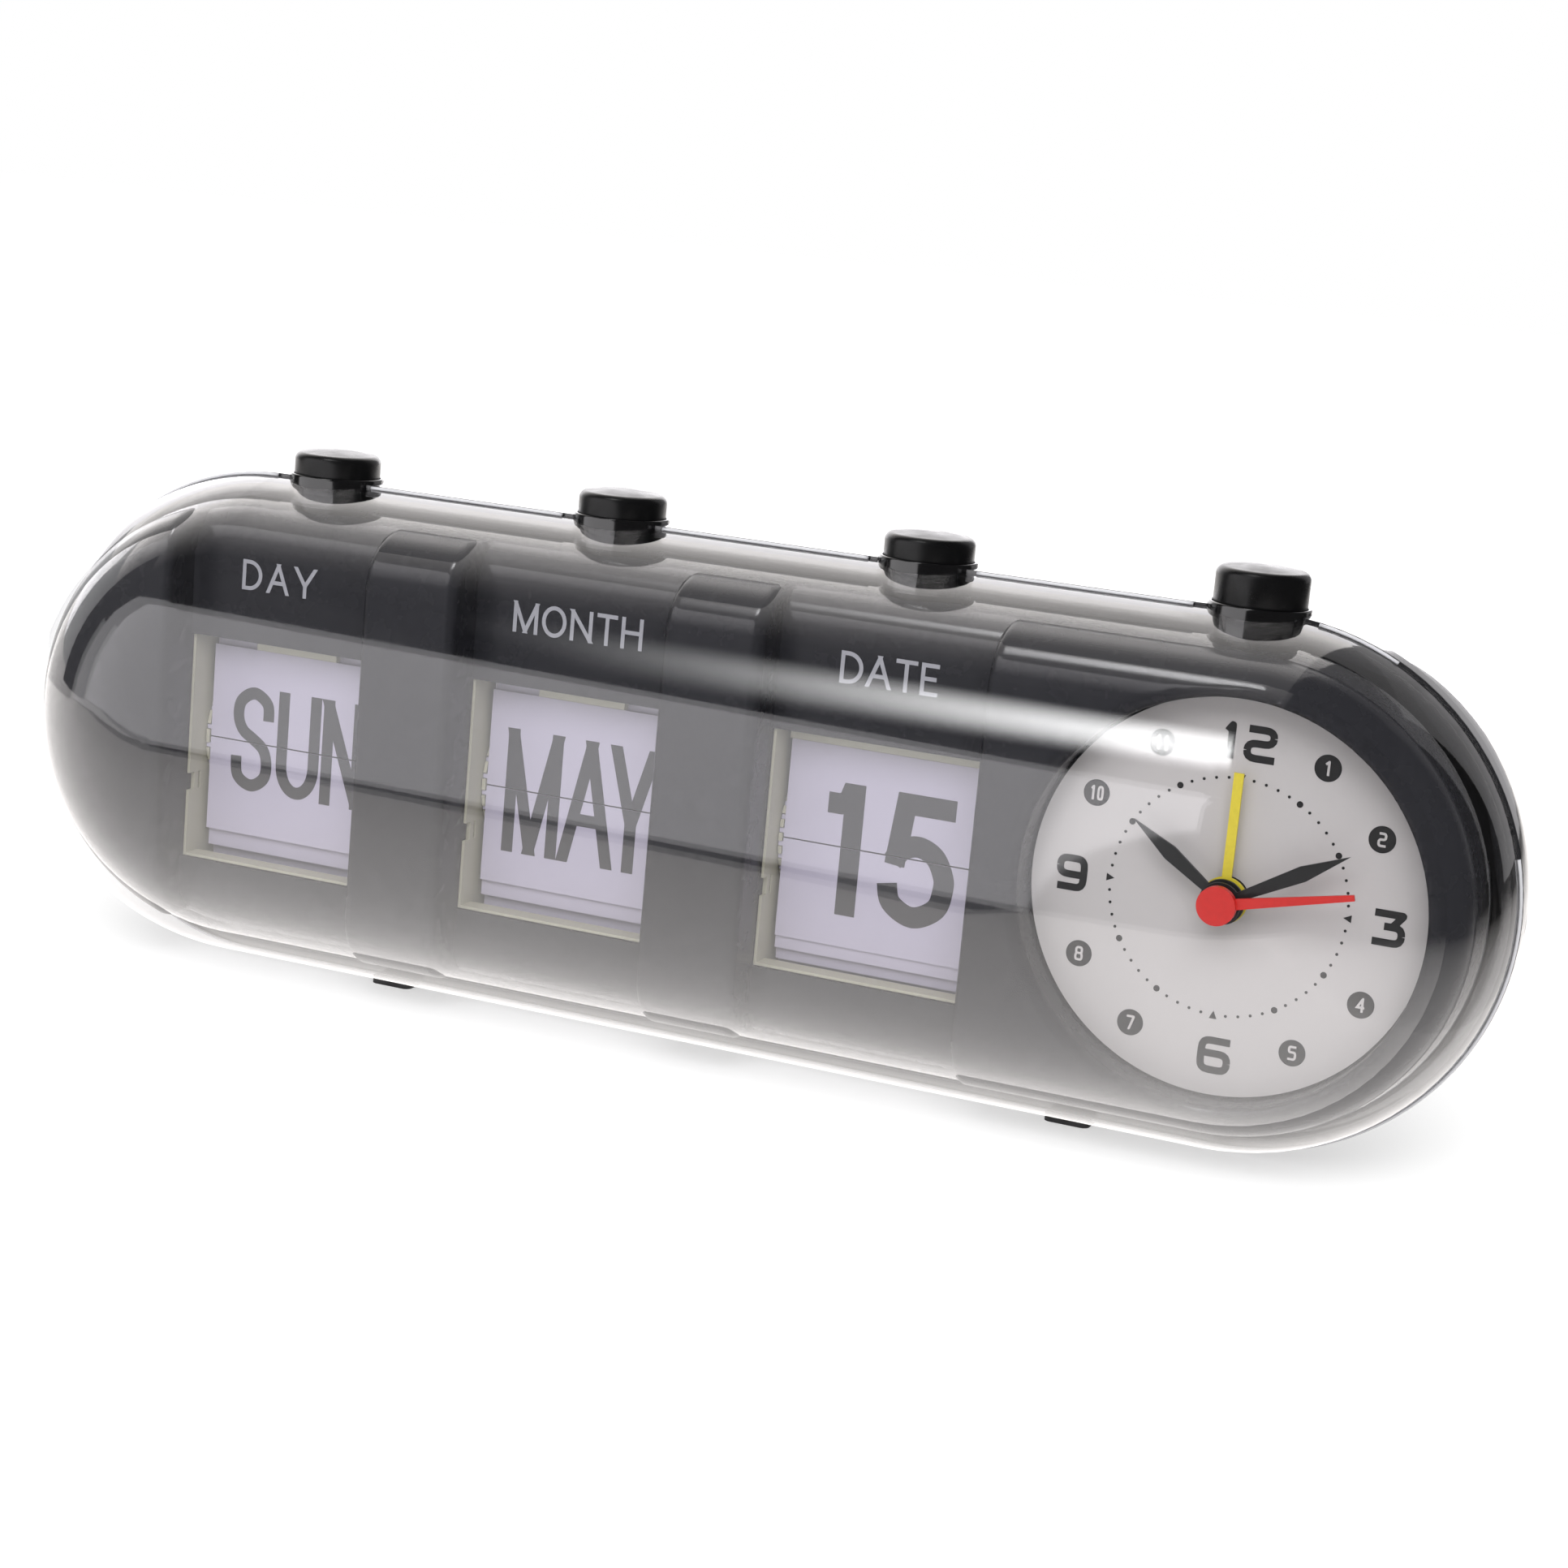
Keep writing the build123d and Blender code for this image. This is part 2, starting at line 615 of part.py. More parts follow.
def cheek_outline():
    """Side wall of a flip unit's cradle, seen from its right, with a slot for the ledge's end."""
    floor_back = FLOOR_Y + BODY_WALL + FIT
    sill = WINDOW_BOTTOM + FIT
    catch_front = AXLE_Y - PIN_CIRCLE - CATCH_GAP - CATCH_T
    bridge_top = BRIDGE_Z + PLATE_T
    with BuildSketch() as outline:
        with BuildLine():
            Polyline(
                (FRAME_FRONT_Y, sill),
                (floor_back, sill),
                (floor_back, sill - SILL_DROP),
                (AXLE_Y - FRAME_FOOT / 2, FRAME_FOOT_Z),
                (AXLE_Y + FRAME_FOOT / 2, FRAME_FOOT_Z),
                (AXLE_Y + PIN_CIRCLE, AXLE_Z - CHEEK_DOWN),
                (AXLE_Y + PIN_CIRCLE, AXLE_Z + CHEEK_UP),
                (BRIDGE_REAR_Y, bridge_top),
                (BRIDGE_FRONT_Y, bridge_top),
                (catch_front, WINDOW_TOP + CATCH_RISE),
                (catch_front, WINDOW_TOP - FIT),
                (FRAME_FRONT_Y, WINDOW_TOP - FIT),
                close=True,
            )
        make_face()
        with Locations((FRAME_FRONT_Y + LEDGE / 2, AXLE_Z - SLOT_DROP)):
            Rectangle(LEDGE, SLOT, mode=Mode.SUBTRACT)
        with Locations((AXLE_Y, AXLE_Z)):
            Circle(AXLE_R + RUNNING, mode=Mode.SUBTRACT)
    return outline.sketch


def make_frame(name, x, tab_half):
    """Cream cradle of a flip unit: two cheeks, a ledge, a catch and a bridge for the stem."""
    flange_y = FLOOR_Y + BODY_WALL + FIT
    flange_width = GROOVE_HALF + BODY_WALL - FRAME_X
    catch_foot = AXLE_Z + LEAF_HEIGHT + CATCH_GAP
    catch_y = AXLE_Y - PIN_CIRCLE - CATCH_GAP
    catch_top = WINDOW_TOP + CATCH_RISE
    bridge_y = (BRIDGE_FRONT_Y + BRIDGE_REAR_Y) / 2
    with BuildPart() as frame:
        for x_cheek in (x - FRAME_OUT, x + FRAME_X):
            with BuildSketch(side_plane(x_cheek)):
                add(cheek_outline())
            extrude(amount=FRAME_T)
        for side in (-1, 1):
            x_flange = x + side * (FRAME_X + flange_width / 2)
            with BuildSketch(front_plane(flange_y, x_flange, AXLE_Z)):
                Rectangle(flange_width, FLANGE_HEIGHT)
            extrude(amount=-FLANGE_T)
        with BuildSketch(side_plane(x - FRAME_X)):
            with Locations((FRAME_FRONT_Y + LEDGE / 2, WINDOW_BOTTOM + FIT + FRAME_T / 2)):
                Rectangle(LEDGE, FRAME_T)
            with Locations((AXLE_Y, FRAME_FOOT_Z + FRAME_FOOT_T / 2)):
                Rectangle(FRAME_FOOT, FRAME_FOOT_T)
            with Locations((bridge_y, BRIDGE_Z + PLATE_T / 2)):
                Rectangle(BRIDGE_REAR_Y - BRIDGE_FRONT_Y, PLATE_T)
            with Locations((catch_y - CATCH_T / 2, catch_top - CATCH_T / 2)):
                Rectangle(CATCH_T, CATCH_T)
        extrude(amount=2 * FRAME_X)
        with BuildSketch(side_plane(x - tab_half)):
            with Locations((catch_y - CATCH_T / 2, (catch_foot + catch_top) / 2)):
                Rectangle(CATCH_T, catch_top - catch_foot)
        extrude(amount=2 * tab_half)
        with BuildSketch(level_plane(BRIDGE_Z, x)):
            Circle(STEM_R + FIT)
        extrude(amount=PLATE_T, mode=Mode.SUBTRACT)
    save(frame, f"{name}_unit_frame")


def make_dial_plate():
    """Round plate on the well's floor."""
    with BuildPart() as dial:
        with BuildSketch(front_plane(WELL_Y, DIAL_X)):
            Circle(WELL_R - DIAL_GAP)
            Circle(BUSH_R + FIT, mode=Mode.SUBTRACT)
        extrude(amount=DIAL_T)
    save(dial, "dial_plate")


def make_movement():
    """Closed case of the clock's works, with its bush and blind holes for the shafts."""
    with BuildPart() as case:
        with BuildSketch(front_plane(MOVEMENT_FRONT_Y, DIAL_X)):
            RectangleRounded(2 * MOVEMENT_HALF_X, 2 * MOVEMENT_HALF_Z, MOVEMENT_ROUND)
        extrude(amount=-MOVEMENT_T)
        with BuildSketch(front_plane(MOVEMENT_FRONT_Y, DIAL_X)):
            Circle(BUSH_R)
        extrude(amount=MOVEMENT_FRONT_Y - BUSH_END_Y)
        with BuildSketch(front_plane(BUSH_END_Y, DIAL_X)):
            Circle(ARBOR_R[0] + RUNNING)
        extrude(amount=BUSH_END_Y - MOVEMENT_FRONT_Y - ARBOR_DEPTH - SHAFT_GAP, mode=Mode.SUBTRACT)
        with BuildSketch(front_plane(MOVEMENT_REAR_Y, DIAL_X, KNOB_Z)):
            with Locations((-KNOB_SPREAD, 0), (KNOB_SPREAD, 0)):
                Circle(SHAFT_R + RUNNING)
        extrude(amount=SHAFT_GRIP + SHAFT_GAP, mode=Mode.SUBTRACT)
    save(case, "movement_case")


def hand_plane(y, angle):
    """Plane on the dial's axis whose Y points at a clockwise angle from twelve."""
    turn = radians(angle)
    return Plane(origin=(DIAL_X, y, AXIS_Z), x_dir=(cos(turn), 0, -sin(turn)), z_dir=(0, -1, 0))


def make_hand(name, order, angle, points, hub_r, cap):
    """Flat hand with its hub, on an arbor that runs inside the one before it."""
    y_hand = HAND_Y - order * HAND_PITCH
    y_tail = MOVEMENT_FRONT_Y + ARBOR_DEPTH
    with BuildPart() as hand:
        with BuildSketch(hand_plane(y_hand, angle)):
            with BuildLine():
                Polyline(*points, close=True)
            make_face()
            Circle(hub_r)
        extrude(amount=HAND_T)
        with BuildSketch(hand_plane(y_hand, angle)):
            Circle(ARBOR_R[order])
        extrude(amount=-(y_tail - y_hand))
        if order + 1 < len(ARBOR_R):
            with BuildSketch(hand_plane(y_hand - HAND_T, angle)):
                Circle(ARBOR_R[order + 1] + RUNNING)
            extrude(amount=-FAR, mode=Mode.SUBTRACT)
        if cap:
            with BuildSketch(hand_plane(y_hand - HAND_T, angle)):
                Circle(hub_r)
            extrude(amount=cap)
    save(hand, name)


def make_knob(name, side):
    """Fluted setting knob in the rear pocket, on a shaft out of the movement."""
    x = DIAL_X + side * KNOB_SPREAD
    rim = []
    for corner in range(2 * FLUTES):
        angle = radians(180 * corner / FLUTES)
        radius = KNOB_R - FLUTE * (corner % 2)
        rim.append((radius * cos(angle), radius * sin(angle)))
    with BuildPart() as knob:
        with BuildSketch(front_plane(KNOB_REAR_Y, x, KNOB_Z)):
            with BuildLine():
                Polyline(*rim, close=True)
            make_face()
        extrude(amount=KNOB_T)
        with BuildSketch(front_plane(KNOB_FRONT_Y, x, KNOB_Z)):
            Circle(SHAFT_R)
        extrude(amount=KNOB_FRONT_Y - MOVEMENT_REAR_Y + SHAFT_GRIP)
    save(knob, name)


def make_buzzer():
    """Round sounder in its ring behind the slots."""
    with BuildPart() as buzzer:
        with BuildSketch(front_plane(BUZZER_Y, MIDDLE_X)):
            Circle(BUZZER_R)
        extrude(amount=-BUZZER_T)
    save(buzzer, "buzzer")


def make_cell():
    """Size AA cell with its raised end, lying along the case."""
    x_start = CELL_X - CELL_LENGTH / 2
    with BuildPart() as cell:
        with BuildSketch(side_plane(x_start, CELL_Y, CELL_Z)):
            Circle(CELL_R)
        extrude(amount=CELL_LENGTH - CELL_TIP)
        with BuildSketch(side_plane(x_start + CELL_LENGTH - CELL_TIP, CELL_Y, CELL_Z)):
            Circle(CELL_TIP_R)
        extrude(amount=CELL_TIP)
    save(cell, "battery_cell")


def make_contacts():
    """A sprung plate at each end of the battery bay."""
    with BuildPart() as contacts:
        for x in (CELL_X - BAY_HALF, CELL_X + BAY_HALF - CONTACT_T):
            with BuildSketch(side_plane(x, CELL_Y, CELL_Z)):
                Rectangle(CONTACT_SIDE, CONTACT_SIDE)
            extrude(amount=CONTACT_T)
    save(contacts, "battery_contacts")


def make_alarm_switch():
    """Switch body on top of the movement, under the alarm button."""
    with BuildPart() as switch:
        with BuildSketch(level_plane(MOVEMENT_HALF_Z, BUTTON_X[3])):
            Rectangle(SWITCH_X, SWITCH_Y)
        extrude(amount=SWITCH_HEIGHT)
    save(switch, "alarm_switch")


def make_screws():
    """Four screws that draw the rear cover to the inner body."""
    with BuildPart() as screws:
        for x in SCREW_X:
            for z in (SCREW_Z, -SCREW_Z):
                with BuildSketch(front_plane(HEAD_SEAT_Y, x, z)):
                    Circle(HEAD_R)
                extrude(amount=-HEAD_T)
                with BuildSketch(front_plane(HEAD_SEAT_Y, x, z)):
                    Circle(SCREW_R)
                extrude(amount=HEAD_SEAT_Y - BOSS_Y + SCREW_GRIP)
    save(screws, "case_screws")


os.makedirs("parts", exist_ok=True)
make_front_cover()
make_rear_cover()
make_battery_door()
make_inner_body()
make_collars()
make_feet()
for unit, unit_x, leaves, ratchet_side, catch_half in (
    ("day", BUTTON_X[0], 21, 1, 6.5),
    ("month", BUTTON_X[1], 24, -1, 6.5),
    ("date", BUTTON_X[2], 31, -1, 14.0),
):
    make_frame(unit, unit_x, catch_half)
    make_leaves(unit, unit_x, leaves)
    make_drum(unit, unit_x, leaves)
    make_axle(unit, unit_x, ratchet_side)
    make_ratchet(unit, unit_x, ratchet_side, leaves)
    make_pusher(unit, unit_x, ratchet_side)
    make_click_spring(unit, unit_x, ratchet_side)
    make_button(f"{unit}_button", unit_x, BUTTON_TOP, BRIDGE_Z - STEM_END)
    make_spring(f"{unit}_button_spring", unit_x, BRIDGE_Z + PLATE_T + FIT, PUSHER_Z - FIT)
make_button("alarm_button", BUTTON_X[3], ALARM_TOP, SWITCH_TOP + ALARM_TRAVEL + STEM_END)
make_spring("alarm_button_spring", BUTTON_X[3], SWITCH_TOP + FIT, BUTTON_FOOT - FIT)
make_dial_plate()
make_movement()
make_hand("alarm_hand", 0, 0, ALARM_POINTS, 3.0, 0)
make_hand("hour_hand", 1, 305, HOUR_POINTS, 2.9, 0)
make_hand("minute_hand", 2, 61, MINUTE_POINTS, 2.7, 0)
make_hand("second_hand", 3, 77, SECOND_POINTS, 2.5, SECOND_CAP)
make_knob("time_knob", -1)
make_knob("alarm_knob", 1)
make_buzzer()
make_cell()
make_contacts()
make_alarm_switch()
make_screws()
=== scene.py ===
"""Looks for the flip clock: finishes, prints, buttons and a small studio.

It is laid out as an add-on and run as a script. Metres, +Z up, front towards -Y,
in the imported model's own frame. Prints are drawn in millimetres.
"""

from math import cos, pi, radians, sin

import bmesh
import bpy
import numpy as np
from mathutils import Matrix, Vector, geometry


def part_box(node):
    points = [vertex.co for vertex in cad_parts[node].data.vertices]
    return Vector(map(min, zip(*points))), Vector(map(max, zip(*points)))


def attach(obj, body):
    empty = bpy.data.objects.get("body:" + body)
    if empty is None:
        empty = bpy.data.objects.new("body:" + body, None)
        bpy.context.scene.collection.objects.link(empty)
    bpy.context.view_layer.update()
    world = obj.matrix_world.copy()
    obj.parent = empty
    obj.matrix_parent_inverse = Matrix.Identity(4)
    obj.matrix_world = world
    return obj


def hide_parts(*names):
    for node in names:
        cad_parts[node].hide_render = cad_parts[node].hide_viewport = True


bl_info = {
    "name": "Flip Clock Looks",
    "version": (1, 0, 0),
    "blender": (4, 5, 0),
    "location": "3D View > Sidebar > Flip Clock",
    "description": "Finishes, prints, buttons and studio of a flip clock",
    "category": "Object",
}

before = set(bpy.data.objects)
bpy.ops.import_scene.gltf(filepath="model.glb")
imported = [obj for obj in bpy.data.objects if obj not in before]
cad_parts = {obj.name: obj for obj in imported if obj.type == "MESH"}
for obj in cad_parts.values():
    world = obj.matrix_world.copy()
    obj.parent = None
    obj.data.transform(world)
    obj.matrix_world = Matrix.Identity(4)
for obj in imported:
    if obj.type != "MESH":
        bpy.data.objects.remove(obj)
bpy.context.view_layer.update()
MM = 0.001
SAME_PLACE = 1e-7


def rgb(red, green, blue):
    """Linear colour of the usual 0 to 255 screen values."""
    return tuple(((value / 255 + 0.055) / 1.055) ** 2.4 for value in (red, green, blue))


def middle(node):
    """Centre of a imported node's box."""
    low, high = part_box(node)
    return (low + high) / 2


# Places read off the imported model
DIAL = middle("dial_plate")
DIAL_FACE_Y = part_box("dial_plate")[0].y
AXIS_Z = DIAL.z
CASE_R = -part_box("front_cover")[0].y
BUTTONS = ("day", "month", "date", "alarm")


# Letter shapes, in a box from 0 to 1 in both directions
def ring(cx, cy, rx, ry, start, end, steps=14):
    """Points along part of an ellipse, angles in degrees."""
    points = []
    for step in range(steps + 1):
        angle = radians(start + (end - start) * step / steps)
        points.append((cx + rx * cos(angle), cy + ry * sin(angle)))
    return points


def flowing(points, steps=5):
    """A smooth line through the points."""
    line = []
    for i in range(len(points) - 1):
        p0 = points[max(i - 1, 0)]
        p1, p2 = points[i], points[i + 1]
        p3 = points[min(i + 2, len(points) - 1)]
        for step in range(steps):
            t = step / steps
            line.append(tuple(
                0.5 * (2 * b + (c - a) * t + (2 * a - 5 * b + 4 * c - d) * t * t
                       + (3 * b - a - 3 * c + d) * t ** 3)
                for a, b, c, d in zip(p0, p1, p2, p3)
            ))
    return line + [points[-1]]


def cornered(points, turn, steps=4):
    """Straight runs whose inner corners are rounded by turn."""
    line = [points[0]]
    for before, corner, after in zip(points, points[1:], points[2:]):
        start = corner_point(corner, before, turn)
        end = corner_point(corner, after, turn)
        for step in range(steps + 1):
            t = step / steps
            line.append(tuple(
                (1 - t) ** 2 * a + 2 * t * (1 - t) * b + t * t * c
                for a, b, c in zip(start, corner, end)
            ))
    return line + [points[-1]]


def corner_point(corner, towards, turn):
    """Point at the distance turn from the corner, or halfway if that is nearer."""
    run = Vector(towards) - Vector(corner)
    reach = min(turn, run.length / 2)
    return tuple(Vector(corner) + run.normalized() * reach)


PLAIN = {
    "S": [flowing([(0.98, 0.72), (0.93, 0.90), (0.5, 1.0), (0.09, 0.90), (0.02, 0.73),
                   (0.18, 0.59), (0.5, 0.51), (0.85, 0.41), (0.98, 0.25), (0.9, 0.09),
                   (0.5, 0.0), (0.07, 0.09), (0.0, 0.30)])],
    "U": [[(0, 1.2), (0, 0.3)] + ring(0.5, 0.28, 0.5, 0.28, 180, 360) + [(1, 0.3), (1, 1.2)]],
    "N": [[(0, -0.2), (0, 1.2)], [(1, -0.2), (1, 1.2)], [(-0.12, 1.12), (1.12, -0.12)]],
    "M": [[(0, -0.2), (0, 1.2)], [(1, -0.2), (1, 1.2)], [(-0.06, 1.12), (0.56, -0.12)],
          [(1.06, 1.12), (0.44, -0.12)]],
    "A": [[(-0.075, -0.15), (0.575, 1.15)], [(1.075, -0.15), (0.425, 1.15)],
          [(0.12, 0.34), (0.88, 0.34)]],
    "Y": [[(-0.1, 1.14), (0.5, 0.38)], [(1.1, 1.14), (0.5, 0.38)], [(0.5, 0.46), (0.5, -0.2)]],
    "J": [[(1, 1.2), (1, 0.3)] + ring(0.5, 0.28, 0.5, 0.28, 360, 175)],
    "O": [ring(0.5, 0.5, 0.5, 0.5, 0, 360, 40)],
    "D": [[(0.3, 0), (0, 0), (0, 1), (0.3, 1)], ring(0.3, 0.5, 0.7, 0.5, 90, -90, 20)],
    "T": [[(-0.1, 1), (1.1, 1)], [(0.5, 1), (0.5, -0.2)]],
    "H": [[(0, -0.2), (0, 1.2)], [(1, -0.2), (1, 1.2)], [(0, 0.53), (1, 0.53)]],
    "E": [[(1.04, 1), (0, 1), (0, 0), (1.04, 0)], [(0, 0.53), (0.9, 0.53)]],
    "1": [[(0.76, 1.2), (0.76, -0.2)],
          [(-0.3, 0.90), (0.2, 0.90), (0.5, 0.93), (0.72, 1.08)]],
    "5": [[(1.1, 1), (0.22, 1), (0.1, 0.44)],
          flowing([(0.06, 0.47), (0.22, 0.585), (0.5, 0.635), (0.8, 0.57), (0.97, 0.42),
                   (1.0, 0.30), (0.9, 0.11), (0.5, 0.0), (0.1, 0.1), (0.0, 0.27)])],
    "6": [ring(0.5, 0.31, 0.5, 0.31, 0, 360, 32),
          flowing([(0, 0.31), (0.02, 0.6), (0.14, 0.87), (0.5, 1.0), (0.85, 0.92), (0.97, 0.74)])],
}

SQUARE = {
    "0": [cornered([(0.5, 0), (0, 0), (0, 1), (1, 1), (1, 0), (0.5, 0)], 0.4)],
    "1": [cornered([(0.15, 0.78), (0.6, 1.0), (0.6, -0.2)], 0.02)],
    "2": [cornered([(0, 0.97), (1, 0.97), (1, 0.5), (0, 0.5), (0, 0), (1.1, 0)], 0.34)],
    "3": [cornered([(-0.1, 1), (1, 1), (0.62, 0.56)], 0.06),
          cornered([(0.3, 0.56), (1, 0.56), (1, 0), (-0.1, 0)], 0.3)],
    "4": [[(0.75, -0.2), (0.75, 1.0), (0.0, 0.3), (1.1, 0.3)]],
    "5": [cornered([(1.05, 1), (0, 1), (0, 0.56), (1, 0.56), (1, 0), (-0.1, 0)], 0.26)],
    "6": [cornered([(1.05, 1), (0, 1), (0, 0), (1, 0), (1, 0.56), (0, 0.56)], 0.3)],
    "7": [cornered([(-0.1, 1), (1, 1), (0.3, -0.2)], 0.05)],
    "8": [cornered([(0.5, 0), (0, 0), (0, 0.53), (1, 0.53), (1, 0), (0.5, 0)], 0.3),
          cornered([(0.5, 0.53), (0.05, 0.53), (0.05, 1), (0.95, 1), (0.95, 0.53), (0.5, 0.53)], 0.3)],
    "9": [cornered([(-0.05, 0), (1, 0), (1, 1), (0, 1), (0, 0.44), (1, 0.44)], 0.3)],
}


# Flat shapes and thin prints
def ribbon(points, width):
    """Convex pieces along a line: a strip for each run and a mitre at each bend."""
    line = [Vector(point) for point in points]
    half = width / 2
    pieces = []
    for a, b in zip(line, line[1:]):
        side = Vector((a.y - b.y, b.x - a.x)).normalized() * half
        pieces.append([a - side, b - side, b + side, a + side])
    bends = list(zip(line, line[1:], line[2:]))
    if (line[0] - line[-1]).length < 1e-6:
        bends.append((line[-2], line[0], line[1]))
    for before, bend, after in bends:
        into, out = (bend - before).normalized(), (after - bend).normalized()
        turn = into.x * out.y - into.y * out.x
        if abs(turn) > 1e-4:
            outer = -half if turn > 0 else half
            first = Vector((-into.y, into.x)) * outer
            second = Vector((-out.y, out.x)) * outer
            across = (first + second).normalized()
            tip = across * half / max(across.dot(first) / half, 0.4)
            pieces.append([bend, bend + first, bend + tip, bend + second])
    return pieces


def glyph(strokes, x0, x1, z0, z1, width):
    """One letter's pieces, fitted between x0 and x1 and cut level at z0 and z1."""
    half = width / 2
    pieces = []
    for stroke in strokes:
        fitted = [(x0 + half + x * (x1 - x0 - width), z0 + half + z * (z1 - z0 - width))
                  for x, z in stroke]
        pieces += ribbon(fitted, width)
    return trimmed(trimmed(pieces, z0, True), z1, False)


def trimmed(pieces, level, above):
    """What is left of the pieces above or below a level."""
    return [kept for kept in (cut(piece, level, above) for piece in pieces) if len(kept) > 2]


def cut(piece, level, above):
    """Part of a convex piece above or below a level."""
    sign = 1 if above else -1
    kept = []
    for a, b in zip(piece, piece[1:] + piece[:1]):
        side_a, side_b = sign * (a[1] - level), sign * (b[1] - level)
        if side_a >= 0:
            kept.append(Vector(a))
        if side_a * side_b < 0:
            kept.append(Vector(a).lerp(Vector(b), side_a / (side_a - side_b)))
    return kept


def disc(cx, cz, radius, corners=24):
    """A round piece."""
    return [Vector(point) for point in ring(cx, cz, radius, radius, 0, 360, corners)[:-1]]


def joined_triangles(pieces):
    """Corner points and triangles of all the pieces merged into one flat shape."""
    points, faces = [], []
    for piece in pieces:
        area = sum(a.x * b.y - b.x * a.y for a, b in zip(piece, piece[1:] + piece[:1]))
        if abs(area) < 1e-5:
            continue
        ordered = piece if area > 0 else piece[::-1]
        faces.append(list(range(len(points), len(points) + len(ordered))))
        points.extend(ordered)
    found = geometry.delaunay_2d_cdt(points, [], faces, 1, 1e-4)
    inside = [tri for tri, owners in zip(found[2], found[5]) if owners]
    used = sorted({corner for tri in inside for corner in tri})
    place = {corner: i for i, corner in enumerate(used)}
    return [found[0][corner] for corner in used], [[place[c] for c in tri] for tri in inside]


def print_piece(name, pieces, origin, finish, body, lift=0.03, sink=0.02, turned=None):
    """A thin closed layer of ink in the plane of X and Z, its face towards the viewer."""
    points, triangles = joined_triangles(pieces)
    count = len(points)
    corners = [origin + Vector((p.x, -lift, p.y)) * MM for p in points]
    corners += [origin + Vector((p.x, sink, p.y)) * MM for p in points]
    faces = [list(tri) for tri in triangles]
    faces += [[c + count for c in reversed(tri)] for tri in triangles]
    sides = dict.fromkeys(edge for tri in triangles for edge in zip(tri, tri[1:] + tri[:1]))
    faces += [[b, a, a + count, b + count] for a, b in sides if (b, a) not in sides]
    if turned:
        corners = [turned @ corner for corner in corners]
    return add_piece(name, corners, faces, finish, body)


def add_piece(name, corners, faces, finish, body, smooth=False, welded=False):
    """A new mesh object that rides on a body, in a finish that belongs to a material slot."""
    mesh = bpy.data.meshes.new(name)
    mesh.from_pydata([tuple(corner) for corner in corners], [], faces)
    shape = bmesh.new()
    shape.from_mesh(mesh)
    if welded:
        bmesh.ops.remove_doubles(shape, verts=shape.verts, dist=SAME_PLACE)
    bmesh.ops.recalc_face_normals(shape, faces=shape.faces)
    shape.to_mesh(mesh)
    shape.free()
    mesh.polygons.foreach_set("use_smooth", [smooth] * len(mesh.polygons))
    mesh.materials.append(finish_for(finish))
    piece = bpy.data.objects.new(name, mesh)
    bpy.context.scene.collection.objects.link(piece)
    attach(piece, body)
    return piece


def tube(rings):
    """Corners of the rings, and the faces between each ring and the next."""
    count = len(rings[0])
    faces = []
    for start in range(0, count * (len(rings) - 1), count):
        for step in range(count):
            after = (step + 1) % count
            faces.append([start + step, start + after, start + count + after, start + count + step])
    return [corner for ring_corners in rings for corner in ring_corners], faces


def lids(rings):
    """The faces that close the first and the last ring."""
    count, last = len(rings[0]), len(rings[0]) * (len(rings) - 1)
    return [list(range(count))[::-1], list(range(last, last + count))]


def turned_piece(name, profile, x, y, finish, body, steps=96):
    """A piece turned round an upright axis, from points of radius and height in metres."""
    angles = [2 * pi * step / steps for step in range(steps)]
    rings = [[(x + radius * cos(angle), y + radius * sin(angle), height) for angle in angles]
             for radius, height in profile]
    closed = profile[0] == profile[-1]
    corners, faces = tube(rings)
    if not closed:
        faces += lids(rings)
    piece = add_piece(name, corners, faces, finish, body, smooth=True, welded=closed)
    piece.data.set_sharp_from_angle(angle=radians(50))
    return piece


# Inner body as a rounded form
def rounded_both(first, second, radius):
    """Distance to what two forms share, with the edge between them rounded."""
    u, v = first + radius, second + radius
    return np.minimum(np.maximum(u, v), 0) + np.hypot(np.maximum(u, 0), np.maximum(v, 0)) - radius


